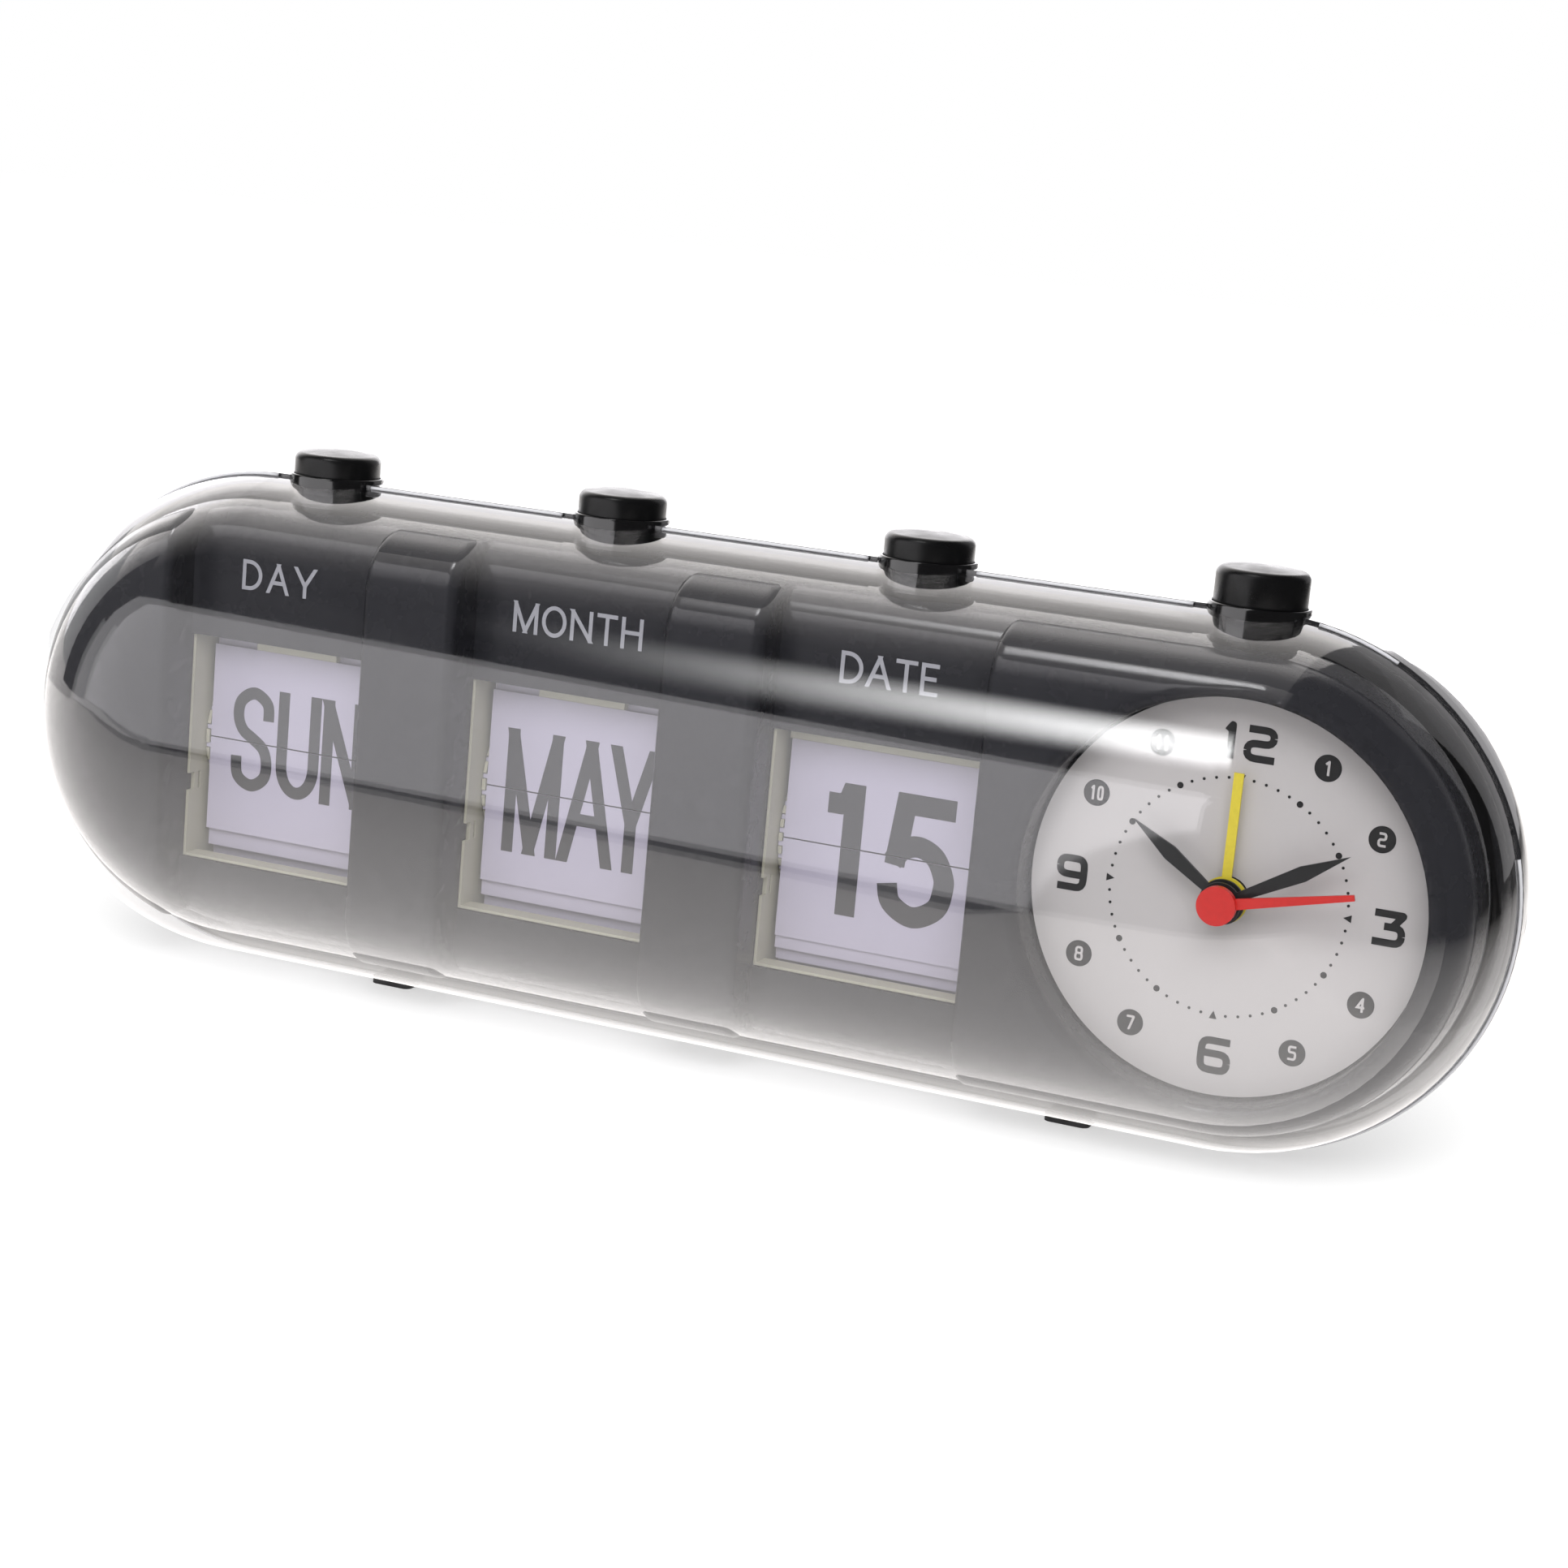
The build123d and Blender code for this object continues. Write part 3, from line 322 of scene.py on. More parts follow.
class BodyForm:
    """The inner body as a distance, in millimetres from the middle of the case's axis."""

    half = 73.0
    radius = 31.0
    front = -18.5
    rear = -3.4
    wall = 1.8
    grooves = (-65.0, -20.0, 25.0)
    groove_half = 15.5
    groove_floor = -11.5
    well_radius = 26.1
    well_floor = -11.0
    posts = [(x, z) for x in (-42.5, 47.5) for z in (-24.0, 24.0)]
    post_radius = 3.0
    post_end = -1.0
    screw_radius = 1.4
    screw_depth = -13.0
    window_middle = -4.35
    window_half = 16.35
    window_rear = -9.0
    button_holes = (*grooves, 70.0)
    button_hole_radius = 6.95
    bush_radius = 2.8
    bush_rear = -6.0

    def __init__(self, shoulder, edge):
        self.shoulder = shoulder
        self.edge = edge

    def skin(self, x, y, z):
        """Distance to the outside, as if the body were solid and went on rearwards."""
        plan = np.hypot(np.maximum(np.abs(x) - self.half, 0), z) - self.radius
        low = rounded_both(plan, self.groove_floor - y, self.shoulder * 0.75)
        high = rounded_both(plan, self.front - y, self.shoulder)
        for centre in self.grooves:
            high = rounded_both(high, self.groove_half - np.abs(x - centre), self.edge)
        whole = np.minimum(low, high)
        well = np.maximum(np.hypot(x - self.half, z) - self.well_radius, y - self.well_floor)
        return rounded_both(whole, -well, self.edge)

    def __call__(self, x, y, z):
        """Distance to the walls, with posts, windows and holes."""
        skin = self.skin(x, y, z)
        shell = np.maximum(np.maximum(skin, -skin - self.wall), y - self.rear)
        for post_x, post_z in self.posts:
            away = np.hypot(x - post_x, z - post_z)
            post = np.maximum(np.maximum(away - self.post_radius, y - self.post_end), skin)
            shell = np.minimum(shell, post)
            shell = np.maximum(shell, -np.maximum(away - self.screw_radius, self.screw_depth - y))
        for centre in self.grooves:
            window = np.maximum(np.abs(x - centre) - self.groove_half,
                                np.abs(z - self.window_middle) - self.window_half)
            shell = np.maximum(shell, -np.maximum(window, y - self.window_rear))
        for hole_x in self.button_holes:
            hole = np.hypot(x - hole_x, y) - self.button_hole_radius
            shell = np.maximum(shell, -np.maximum(hole, -z))
        bush = np.maximum(np.hypot(x - self.half, z) - self.bush_radius, y - self.bush_rear)
        return np.maximum(shell, -bush)


def slopes(form, points, reach=0.02):
    """Directions in which the form's distance grows."""
    rise = []
    for axis in range(3):
        step = np.zeros(3)
        step[axis] = reach
        rise.append(form(*(points + step).T) - form(*(points - step).T))
    rise = np.stack(rise, 1)
    return rise / np.maximum(np.linalg.norm(rise, axis=1, keepdims=True), 1e-9)


def contoured(form, lines):
    """Corners and four-sided faces of a form's skin, one corner for each cell it passes through."""
    value = form(*np.meshgrid(*lines, indexing="ij"))
    cells = tuple(len(line) - 1 for line in lines)
    count = cells[0] * cells[1] * cells[2]
    sums = np.zeros((count, 13))
    faces = []
    for axis in range(3):
        first, second = (i for i in range(3) if i != axis)
        at = np.argwhere(np.diff(value < 0, axis=axis))
        beside = at[:, [first, second]]
        at = at[((beside > 0) & (beside < (cells[first], cells[second]))).all(1)]
        after = at.copy()
        after[:, axis] += 1
        start = np.stack([lines[i][at[:, i]] for i in range(3)], 1)
        end = np.stack([lines[i][after[:, i]] for i in range(3)], 1)
        from_value, to_value = value[tuple(at.T)], value[tuple(after.T)]
        point = start + (end - start) * (from_value / (from_value - to_value))[:, None]
        normal = slopes(form, point)
        level = (normal * point).sum(1, keepdims=True)
        squares = [normal[:, i] * normal[:, j] for i in range(3) for j in range(i, 3)]
        data = np.column_stack([*squares, normal * level, point, np.ones(len(point))])
        round_edge = []
        for step in ((0, 0), (-1, 0), (-1, -1), (0, -1)):
            cell = at.copy()
            cell[:, first] += step[0]
            cell[:, second] += step[1]
            place = np.ravel_multi_index(tuple(cell.T), cells)
            round_edge.append(place)
            for column in range(13):
                sums[:, column] += np.bincount(place, data[:, column], count)
        quads = np.stack(round_edge, 1)
        turned = (from_value > 0) != (axis == 1)
        quads[turned] = quads[turned][:, ::-1]
        faces.append(quads)
    used = np.flatnonzero(sums[:, 12])
    data = sums[used]
    centre = data[:, 9:12] / data[:, 12:]
    matrix = data[:, [0, 1, 2, 1, 3, 4, 2, 4, 5]].reshape(-1, 3, 3)
    pull = data[:, 6:9] - np.einsum("nij,nj->ni", matrix, centre)
    shift = np.linalg.solve(matrix + 0.05 * np.eye(3), pull[..., None])[..., 0]
    index = np.stack(np.unravel_index(used, cells), 1)
    lowest = np.stack([lines[i][index[:, i]] for i in range(3)], 1)
    highest = np.stack([lines[i][index[:, i] + 1] for i in range(3)], 1)
    corners = np.clip(centre + shift, lowest, highest)
    place = np.zeros(count, int)
    place[used] = np.arange(len(used))
    return corners, place[np.concatenate(faces)]


def spaced(stops):
    """Grid lines from pairs of a place and the spacing up to it."""
    line = [stops[0][0]]
    for end, spacing in stops[1:]:
        start = line[-1]
        steps = max(1, round((end - start) / spacing))
        line += [start + (end - start) * step / steps for step in range(1, steps + 1)]
    return np.array(line)


# Finishes
class Finish:
    """A material or a world under construction, with short ways to add and join its nodes."""

    def __init__(self, name, world=False):
        kind = "World" if world else "Material"
        self.owner = (bpy.data.worlds if world else bpy.data.materials).new(name)
        self.owner.use_nodes = True
        self.nodes, self.links = self.owner.node_tree.nodes, self.owner.node_tree.links
        self.nodes.clear()
        self.output = self.nodes.new("ShaderNodeOutput" + kind)

    def add(self, kind, **inputs):
        """A node of that kind; a value goes to its socket, and a socket is linked to it."""
        node = self.nodes.new("ShaderNode" + kind)
        for label, value in inputs.items():
            self.feed(node, label.replace("_", " "), value)
        return node

    def feed(self, node, label, value):
        """Sets one of a node's inputs by its name."""
        self.plug(next(s for s in node.inputs if s.name == label and s.enabled), value)

    def plug(self, socket, value):
        """Sets an input to a value, or links a socket to it."""
        if isinstance(value, bpy.types.NodeSocket):
            self.links.new(value, socket)
        elif socket.type == "RGBA":
            socket.default_value = (*value[:3], 1)
        else:
            socket.default_value = value

    def joined(self, kind, *values, **settings):
        """The result of a node whose working inputs are fed in order."""
        node = self.nodes.new("ShaderNode" + kind)
        for setting, choice in settings.items():
            setattr(node, setting, choice)
        for socket, value in zip([s for s in node.inputs if s.enabled], values):
            self.plug(socket, value)
        return next(s for s in node.outputs if s.enabled)

    def noise(self, size, detail=2.0, stretch=(1.0, 1.0, 1.0)):
        """Cloudy values whose blots are about that size in millimetres."""
        place = self.add("TexCoord").outputs["Object"]
        if stretch != (1.0, 1.0, 1.0):
            place = self.add("Mapping", Vector=place, Scale=stretch).outputs[0]
        return self.add("TexNoise", Vector=place, Scale=1 / (size * MM), Detail=detail).outputs[0]

    def spread(self, value, source, target, smooth=False):
        """The value carried over from one range to another."""
        node = self.add("MapRange", Value=value)
        node.interpolation_type = "SMOOTHSTEP" if smooth else "LINEAR"
        for label, number in zip(("From Min", "From Max", "To Min", "To Max"), (*source, *target)):
            self.feed(node, label, number)
        return node.outputs[0]

    def between(self, noise, low, high):
        """Cloudy values spread from low to high."""
        return self.spread(noise, (0.3, 0.7), (low, high))

    def times(self, first, second):
        """Two values multiplied."""
        return self.joined("Math", first, second, operation="MULTIPLY")

    def shoulders(self):
        """1 where the surface leans between front and roof, and 0 on flat fronts and sides."""
        parts = self.add("SeparateXYZ", Vector=self.add("TexCoord").outputs["Normal"])
        lean = self.times(parts.outputs["Y"], parts.outputs["Z"])
        return self.spread(lean, (-0.22, -0.42), (0.0, 1.0), smooth=True)

    def blended(self, factor, first, second):
        """A colour between two, as the factor says."""
        return self.joined("Mix", factor, first, second, data_type="RGBA")

    def bump(self, height, strength, depth, normal=None):
        """A normal from a height, whose full depth is in millimetres."""
        node = self.add("Bump", Height=height, Strength=strength, Distance=depth * MM)
        if normal:
            self.feed(node, "Normal", normal)
        return node.outputs[0]

    def finish(self, shader):
        """Joins the last shader to the output and gives the material or the world."""
        self.links.new(shader, self.output.inputs["Surface"])
        return self.owner

    def painted(self, **inputs):
        """The usual shader with those inputs, as the finished material."""
        return self.finish(self.add("BsdfPrincipled", **inputs).outputs[0])


def shade(color, factor):
    """A colour made lighter or darker."""
    return tuple(min(value * factor, 1.0) for value in color[:3])


def moulded(name, color, roughness, mottle=0.05, grain=0.15, grain_size=0.35, coat=0.0, edge=0.0,
            specular=0.5, polished=False):
    """Moulded plastic: faint flow clouds, a fine grain and a little uneven gloss."""
    build = Finish(name)
    clouds = build.noise(9.0, 3.0)
    tone = build.blended(clouds, shade(color, 1 - mottle), shade(color, 1 + mottle))
    gloss = build.between(build.noise(3.0, 4.0), roughness * 0.8, roughness * 1.25)
    base = build.add("Bevel", Radius=edge * MM).outputs[0] if edge else None
    inputs = {"Coat_Weight": build.shoulders() if polished else coat, "Coat_Roughness": 0.06,
              "Specular_IOR_Level": specular}
    if grain:
        inputs["Normal"] = build.bump(build.noise(grain_size, 2.0), grain, 0.02, base)
    return build.painted(Base_Color=tone, Roughness=gloss, **inputs)


def grained(name, color, grain, clouds, tones, gloss, strength):
    """A smooth coat with a fine grain and faint clouds, as leaf card and dial paint have."""
    build = Finish(name)
    fine = build.noise(*grain)
    coarse = build.noise(*clouds)
    cloud_dark, grain_share, grain_dark = tones
    tone = build.blended(coarse, shade(color, cloud_dark), shade(color, 1.02))
    tone = build.blended(build.between(fine, 0.0, grain_share), tone, shade(color, grain_dark))
    roughness = build.between(coarse, *gloss) if isinstance(gloss, tuple) else gloss
    return build.painted(Base_Color=tone, Roughness=roughness,
                         Normal=build.bump(fine, strength, 0.01))


def ink(name, color, roughness=0.5):
    """Screen-printed ink: even, with slight mottling where it lies thinner."""
    build = Finish(name)
    thin = build.noise(0.6, 5.0)
    tone = build.blended(build.between(thin, 0.0, 0.5), color, shade(color, 1.18))
    normal = build.bump(thin, 0.15, 0.01)
    return build.painted(Base_Color=tone, Roughness=roughness, Normal=normal)


def metal(name, color, roughness):
    """Drawn or stamped metal with fine lines along it."""
    build = Finish(name)
    lines = build.noise(0.3, 4.0, (1.0, 0.15, 0.15))
    tone = build.blended(lines, shade(color, 0.85), shade(color, 1.1))
    gloss = build.between(lines, roughness * 0.7, roughness * 1.4)
    normal = build.bump(lines, 0.2, 0.01)
    return build.painted(Base_Color=tone, Roughness=gloss, Normal=normal, Metallic=1.0)


def clear_plastic(name, index, roughness):
    """Clear polished plastic seen straight through, which mirrors more at flat angles."""
    build = Finish(name)
    behind = build.add("NewGeometry").outputs["Backfacing"]
    mirror = build.add("Fresnel", IOR=build.spread(behind, (0.0, 1.0), (index, 1 / index)))
    haze = build.noise(9.0, 3.0)
    tint = build.blended(haze, (0.985, 0.985, 0.99), (0.97, 0.97, 0.975))
    through = build.add("BsdfTransparent", Color=tint)
    gloss = build.add("BsdfAnisotropic", Color=(1, 1, 1),
                      Roughness=build.between(haze, roughness * 0.7, roughness * 1.4))
    parts = (node.outputs[0] for node in (mirror, through, gloss))
    return build.finish(build.joined("MixShader", *parts))


FINISHES = {}


def finish_for(slot):
    """The finish that a material slot or a print uses, made when it is first asked for."""
    if slot not in FINISHES:
        FINISHES[slot] = RECIPES[slot](bpy.context.scene.flip_clock_colors)
    return FINISHES[slot]


RECIPES = {
    "clear_plastic": lambda c: clear_plastic("clear plastic", c.clear_index, 0.05),
    # Painted highlight: an opaque pale colour for the bright edge that the clear cover shows, worn by
    # the rim bead
    "painted_highlight_edge": lambda c: moulded("painted highlight edge", rgb(214, 214, 218), 0.25, 0.03, 0.05),
    "dark_shell": lambda c: moulded("dark shell", c.shell, 0.16, 0.06, 0.05, coat=1.0, edge=0.4),
    "charcoal_body": lambda c: moulded("charcoal body", c.body, 0.25, 0.05, 0.0,
                                       specular=0.12, polished=True),
    "dial_white": lambda c: grained("dial paint", c.dial, (0.18, 4.0), (14.0, 2.0),
                                    (0.97, 0.08, 0.85), 0.42, 0.2),
    "black_plastic": lambda c: moulded("black plastic", c.black, 0.4, 0.1, 0.35, edge=0.25),
    "button_black": lambda c: moulded("button plastic", c.button, 0.3, 0.08, 0.04, specular=0.25),
    "collar_black": lambda c: moulded("collar plastic", c.button, 0.12, 0.08, 0.0, specular=0.8),
    "rubber": lambda c: moulded("rubber", c.black, 0.75, 0.15, 0.6, 0.2),
    "steel": lambda c: metal("steel", rgb(185, 185, 188), 0.3),
    "cell_jacket": lambda c: moulded("cell jacket", rgb(60, 95, 120), 0.3, 0.1),
    "cream_plastic": lambda c: moulded("cream plastic", c.cream, 0.42, 0.04, 0.2, edge=0.15),
    "leaf_card": lambda c: grained("leaf card", c.card, (0.25, 6.0, (1.0, 1.0, 0.35)), (6.0, 4.0),
                                   (0.965, 0.12, 0.82), (0.42, 0.55), 0.25),
    "hand_black": lambda c: ink("hand black", rgb(26, 27, 28), 0.35),
    "hand_yellow": lambda c: ink("hand yellow", c.alarm_hand, 0.4),
    "hand_red": lambda c: ink("hand red", c.second_hand, 0.38),
    "leaf_ink": lambda c: ink("leaf ink", c.leaf_ink),
    "label_ink": lambda c: ink("label ink", c.label_ink),
    "dial_ink": lambda c: ink("dial ink", c.dial_ink),
    "dial_knockout": lambda c: ink("dial knockout ink", c.dial),
}


def paint(name, description, *screen):
    """A colour property whose default is given in screen values."""
    return bpy.props.FloatVectorProperty(name=name, description=description, default=rgb(*screen),
                                         min=0, max=1, subtype="COLOR")


def length(name, description, millimetres):
    """A length property whose default is given in millimetres."""
    return bpy.props.FloatProperty(name=name, description=description, default=millimetres * MM,
                                   unit="LENGTH")


def amount(name, description, default, high, low=0.0, unit="NONE"):
    """A property that is a plain number, or a power, within limits."""
    return bpy.props.FloatProperty(name=name, description=description, default=default,
                                   min=low, max=high, unit=unit)


class FlipClockColors(bpy.types.PropertyGroup):
    """Colours of the clock's finishes."""

    clear_index: amount("Clear index", "Refractive index, which sets how strongly the cover mirrors",
                        1.55, 1.8, 1.3)
    shell: paint("Rear cover", "Colour of the rear cover", 34, 34, 37)
    body: paint("Inner body", "Colour of the mask behind the clear cover", 44, 44, 48)
    black: paint("Black plastic", "Colour of the knobs, the movement and the feet", 24, 24, 26)
    button: paint("Buttons", "Colour of the buttons and their collars", 13, 13, 14)
    cream: paint("Cream plastic", "Colour of the flip units' frames", 176, 173, 154)
    card: paint("Leaf card", "Colour of the printed leaves", 186, 180, 199)
    leaf_ink: paint("Leaf ink", "Colour of the letters on the leaves", 38, 38, 43)
    label_ink: paint("Label ink", "Colour of the three labels over the windows", 162, 162, 169)
    dial: paint("Dial", "Colour of the dial plate", 202, 198, 197)
    dial_ink: paint("Dial ink", "Colour of the numerals and minute marks", 18, 18, 20)
    alarm_hand: paint("Alarm hand", "Colour of the alarm hand", 224, 205, 52)
    second_hand: paint("Second hand", "Colour of the second hand", 208, 34, 28)


class FlipClockSizes(bpy.types.PropertyGroup):
    """Sizes of prints and buttons, in metres."""

    letter_stroke: length("Letter stroke", "Width of the strokes of day and month names", 1.75)
    number_stroke: length("Number stroke", "Width of the strokes of the date", 2.85)
    label_stroke: length("Label stroke", "Width of the strokes of the labels", 0.55)
    track_radius: length("Track radius", "Radius of the ring of minute dots", 15.35)
    button_rounding: length("Button rounding", "Radius of the buttons' upper edge", 1.05)
    shoulder: length("Shoulder", "Radius between the inner body's front and its roof", 8)
    edge_rounding: length("Edge rounding", "Radius of the edges of the grooves and the dial well", 1.4)


class FlipClockStudio(bpy.types.PropertyGroup):
    """Camera and light."""

    lens: amount("Lens", "Focal length on a 36 mm sensor, in millimetres", 71.21, 200, 20)
    sky: amount("Sky", "Strength of the light from all round", 0.62, 2)
    key: amount("Key light", "Power of the large light over the viewer", 14.0, 200, unit="POWER")
    panel: amount("Panel", "Brightness of the panel mirrored in the clear cover", 1.9, 10)
    table: amount("Table", "Brightness of the table mirrored in the clear cover", 1.72, 10)
    strip: amount("Strip", "Brightness of the overhead strip mirrored in the cover", 11.0, 50)


# Stage
WARM = (1.0, 0.965, 0.945)
COOL = (1.0, 0.98, 1.0)
FLOOR_HALF = 3.0


def glow(name, strength):
    """A surface that shines evenly."""
    build = Finish(name)
    node = build.add("Emission", Strength=strength, Color=COOL)
    return build.finish(node.outputs[0])


def seen_rays(build):
    """1 for rays from the camera, a mirror or clear plastic, and 0 for the rest."""
    path = build.add("LightPath")
    total = path.outputs["Is Camera Ray"]
    for label in ("Is Glossy Ray", "Is Transmission Ray"):
        total = build.joined("Math", total, path.outputs[label], operation="MAXIMUM")
    return total


def stage_sheet(name, corners, finish, mirrored_only=True):
    """A flat piece of the studio that only shows in mirroring surfaces."""
    mesh = bpy.data.meshes.new(name)
    mesh.from_pydata(corners, [], [list(range(len(corners)))])
    mesh.materials.append(finish)
    sheet = bpy.data.objects.new(name, mesh)
    bpy.context.scene.collection.objects.link(sheet)
    if mirrored_only:
        sheet.visible_camera = False
        sheet.visible_diffuse = False
        sheet.visible_transmission = False
        sheet.visible_shadow = False
    return sheet


def level_sheet(x0, x1, height, half=FLOOR_HALF):
    """Corners of a level sheet as deep as the floor."""
    return [(x0, -half, height), (x1, -half, height), (x1, half, height), (x0, half, height)]


def standing(feet, heads, top=1.035, foot=0.001):
    """Corners of a card on the table, from places seen from above."""
    return [(x, y, foot) for x, y in feet] + [(x, y, top) for x, y in heads]


def fading_glow(name, axis, places, strengths):
    """A surface whose glow changes from one place along an axis to another."""
    build = Finish(name)
    place = build.add("SeparateXYZ", Vector=build.add("TexCoord").outputs["Object"]).outputs[axis]
    node = build.add("Emission", Strength=build.spread(place, places, strengths), Color=WARM)
    return build.finish(node.outputs[0])


def strip_glow(name, strength):
    """A strip of light with soft long edges, brighter and narrower towards its right end."""
    build = Finish(name)
    place = build.add("SeparateXYZ", Vector=build.add("TexCoord").outputs["Object"])
    along = build.spread(place.outputs["X"], (-0.56, -0.20), (0.0, 1.0))
    narrowing = build.spread(place.outputs["X"], (-0.50, -0.05), (1.0, 1.5))
    from_middle = build.spread(place.outputs["Y"], (-0.83, -0.03), (-0.4, 0.4))
    across = build.times(from_middle, narrowing)
    front = build.spread(across, (-0.31, -0.05), (0.0, 1.0), smooth=True)
    rear = build.spread(across, (0.05, 0.22), (1.0, 0.0), smooth=True)
    total = build.times(build.times(along, along), build.times(front, rear))
    node = build.add("Emission", Strength=build.times(total, strength))
    return build.finish(node.outputs[0])


class CLOCK_OT_stage(bpy.types.Operator):
    """Make the camera, the pale floor and the soft studio light"""

    bl_idname = "flip_clock.stage"
    bl_label = "Studio"

    camera_place = (0.15753, -0.38739, 0.12317)
    camera_back = (0.35396, -0.91347, 0.20070)
    camera_azimuth = radians(21.18)
    camera_roll = radians(5.22)
    key_place = (0.25, -1.1, 1.0)

    def execute(self, context):
        studio = context.scene.flip_clock_studio
        self.make_camera(context, studio)
        self.make_world(context, studio)
        self.make_floor()
        self.make_cards(studio)
        self.make_lamps(context, studio)
        return {"FINISHED"}

    def make_camera(self, context, studio):
        """A camera at the photograph's viewing angle."""
        lens = bpy.data.cameras.new("camera")
        lens.sensor_width = 36
        lens.lens = studio.lens
        lens.clip_start = 0.01
        camera = bpy.data.objects.new("camera", lens)
        context.scene.collection.objects.link(camera)
        back = Vector(self.camera_back).normalized()
        level = Vector((cos(self.camera_azimuth), sin(self.camera_azimuth), 0))
        across = level * cos(self.camera_roll) + back.cross(level) * sin(self.camera_roll)
        turn = Matrix((across, back.cross(across), back)).transposed()
        camera.matrix_world = Matrix.Translation(self.camera_place) @ turn.to_4x4()
        context.scene.camera = camera

    def make_world(self, context, studio):
        """White all round where it is seen, and a softer light on everything else."""
        build = Finish("studio", world=True)
        strength = build.spread(seen_rays(build), (0.0, 1.0), (studio.sky, 1.0))
        light = build.add("Background", Color=(1, 1, 1), Strength=strength)
        context.scene.world = build.finish(light.outputs[0])

    def make_floor(self):
        """A pale floor that keeps the clock's shadow."""
        build = Finish("floor")
        pale = build.add("BsdfDiffuse", Color=(0.8, 0.8, 0.8))
        strength = build.spread(seen_rays(build), (0.0, 1.0), (0.0, 0.5))
        lift = build.add("Emission", Color=(1, 1, 1), Strength=strength)
        finish = build.finish(build.joined("AddShader", pale.outputs[0], lift.outputs[0]))
        stage_sheet("floor", level_sheet(-FLOOR_HALF, FLOOR_HALF, 0), finish, mirrored_only=False)

    def make_cards(self, studio):
        """What the clear cover mirrors: a light panel, the table, a dark roof and a bright strip."""
        front, turn, left, left_end = (0.02, -0.149), (-0.62, -0.327), (-0.85, -0.67), (-0.958, -0.248)
        over_front, over_turn, over_left = (-0.12, -1.05), (-0.35, -0.97), (-1.32, -0.505)
        right, over_right, far_right = (0.9, -0.6), (1.6, -1.0), (0.95, 0.3)
        back_corner, back, back_end = (0.70, 0.72), (0.1, 1.6), (-3.0, 1.6)
        gap_low, gap_depth = 0.0008, 0.034
        near_edge = [(*place, gap_low) for place in (left_end, turn, front)]
        far_edge = [(x, y + gap_depth, gap_low) for x, y, _ in near_edge[::-1]]
        near_side = (-0.75, 0.12)
        roof_seam, roof_right, roof_change = 0.12, 2.4, 0.8
        sheets = (
            ("soft_panel", standing((turn, front), (over_front, over_turn, left)), studio.panel),
            ("soft_panel_left", standing((left_end, turn), (left, over_left)) + [(-1.24, -0.36, 0.65)],
             studio.panel),
            ("gap_card", near_edge + far_edge, 0.2),
            ("left_card", standing(((-0.75, -0.17), near_side), (near_side, (-0.8, -0.2)), 0.6), 0.04),
            ("side_card", standing((front, right), (over_right, over_front)), 0.05),
            ("right_card", standing((right, far_right), (far_right, over_right)), 0.06),
            ("far_right_card", standing((far_right, back_corner), (back_corner, far_right)), 0.05),
            ("back_right", standing((back_corner, back), (back, back_corner), 1.0), 0.6),
            ("back_left", standing((back, back_end), (back_end, back), 1.0), 3.0),
            ("dark_canopy", [(roof_seam, -1.05, 1.036), (roof_right, -1.0, 1.036),
                             (roof_right, roof_change, 1.03), (roof_seam, roof_change, 1.03)], 0.03),
            ("grey_canopy", [(roof_seam, roof_change, 1.03), (roof_right, roof_change, 1.03),
                             (roof_right, 1.6, 1.0), (roof_seam, 1.6, 1.0)], 0.5),
        )
        for name, corners, strength in sheets:
            stage_sheet(name, corners, glow(name, strength))
        stage_sheet("canopy", [(-2.4, -1.0, 1.036), (roof_seam, -1.05, 1.036),
                               (roof_seam, 1.6, 1.0), (-2.4, 1.6, 1.0)],
                    fading_glow("canopy", "Y", (0.0, 1.38), (0.04, 3.0)))
        level, seam_x = 0.0004, 0.13
        stage_sheet("table_card", level_sheet(-FLOOR_HALF, seam_x, level),
                    fading_glow("table card", "Y", (-0.135, -0.04), (1.3, studio.table)))
        stage_sheet("side_table_card", level_sheet(seam_x, FLOOR_HALF, level),
                    fading_glow("side table card", "X", (seam_x, 0.30), (1.5, 0.05)))
        stage_sheet("strip", [(-0.62, -0.78, 1.0), (-0.045, -0.78, 1.0),
                              (-0.045, -0.16, 1.0), (-0.62, -0.16, 1.0)],
                    strip_glow("strip", studio.strip))

    def make_lamps(self, context, studio):
        """A large soft light over the viewer's shoulder."""
        lamp = bpy.data.lights.new("key", "AREA")
        lamp.shape = "RECTANGLE"
        lamp.size = 1.2
        lamp.size_y = 0.8
        lamp.energy = studio.key
        key = bpy.data.objects.new("key", lamp)
        context.scene.collection.objects.link(key)
        place = Vector(self.key_place)
        key.location = place
        key.rotation_euler = (place - Vector((0, 0, AXIS_Z))).to_track_quat("Z", "Y").to_euler()
        key.visible_glossy = False


class CLOCK_OT_carried(bpy.types.Operator):
    """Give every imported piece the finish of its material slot"""

    bl_idname = "flip_clock.carried"
    bl_label = "Packed pieces"

    def execute(self, context):
        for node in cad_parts.values():
            for place in node.material_slots:
                place.material = finish_for(place.material.name)
        return {"FINISHED"}


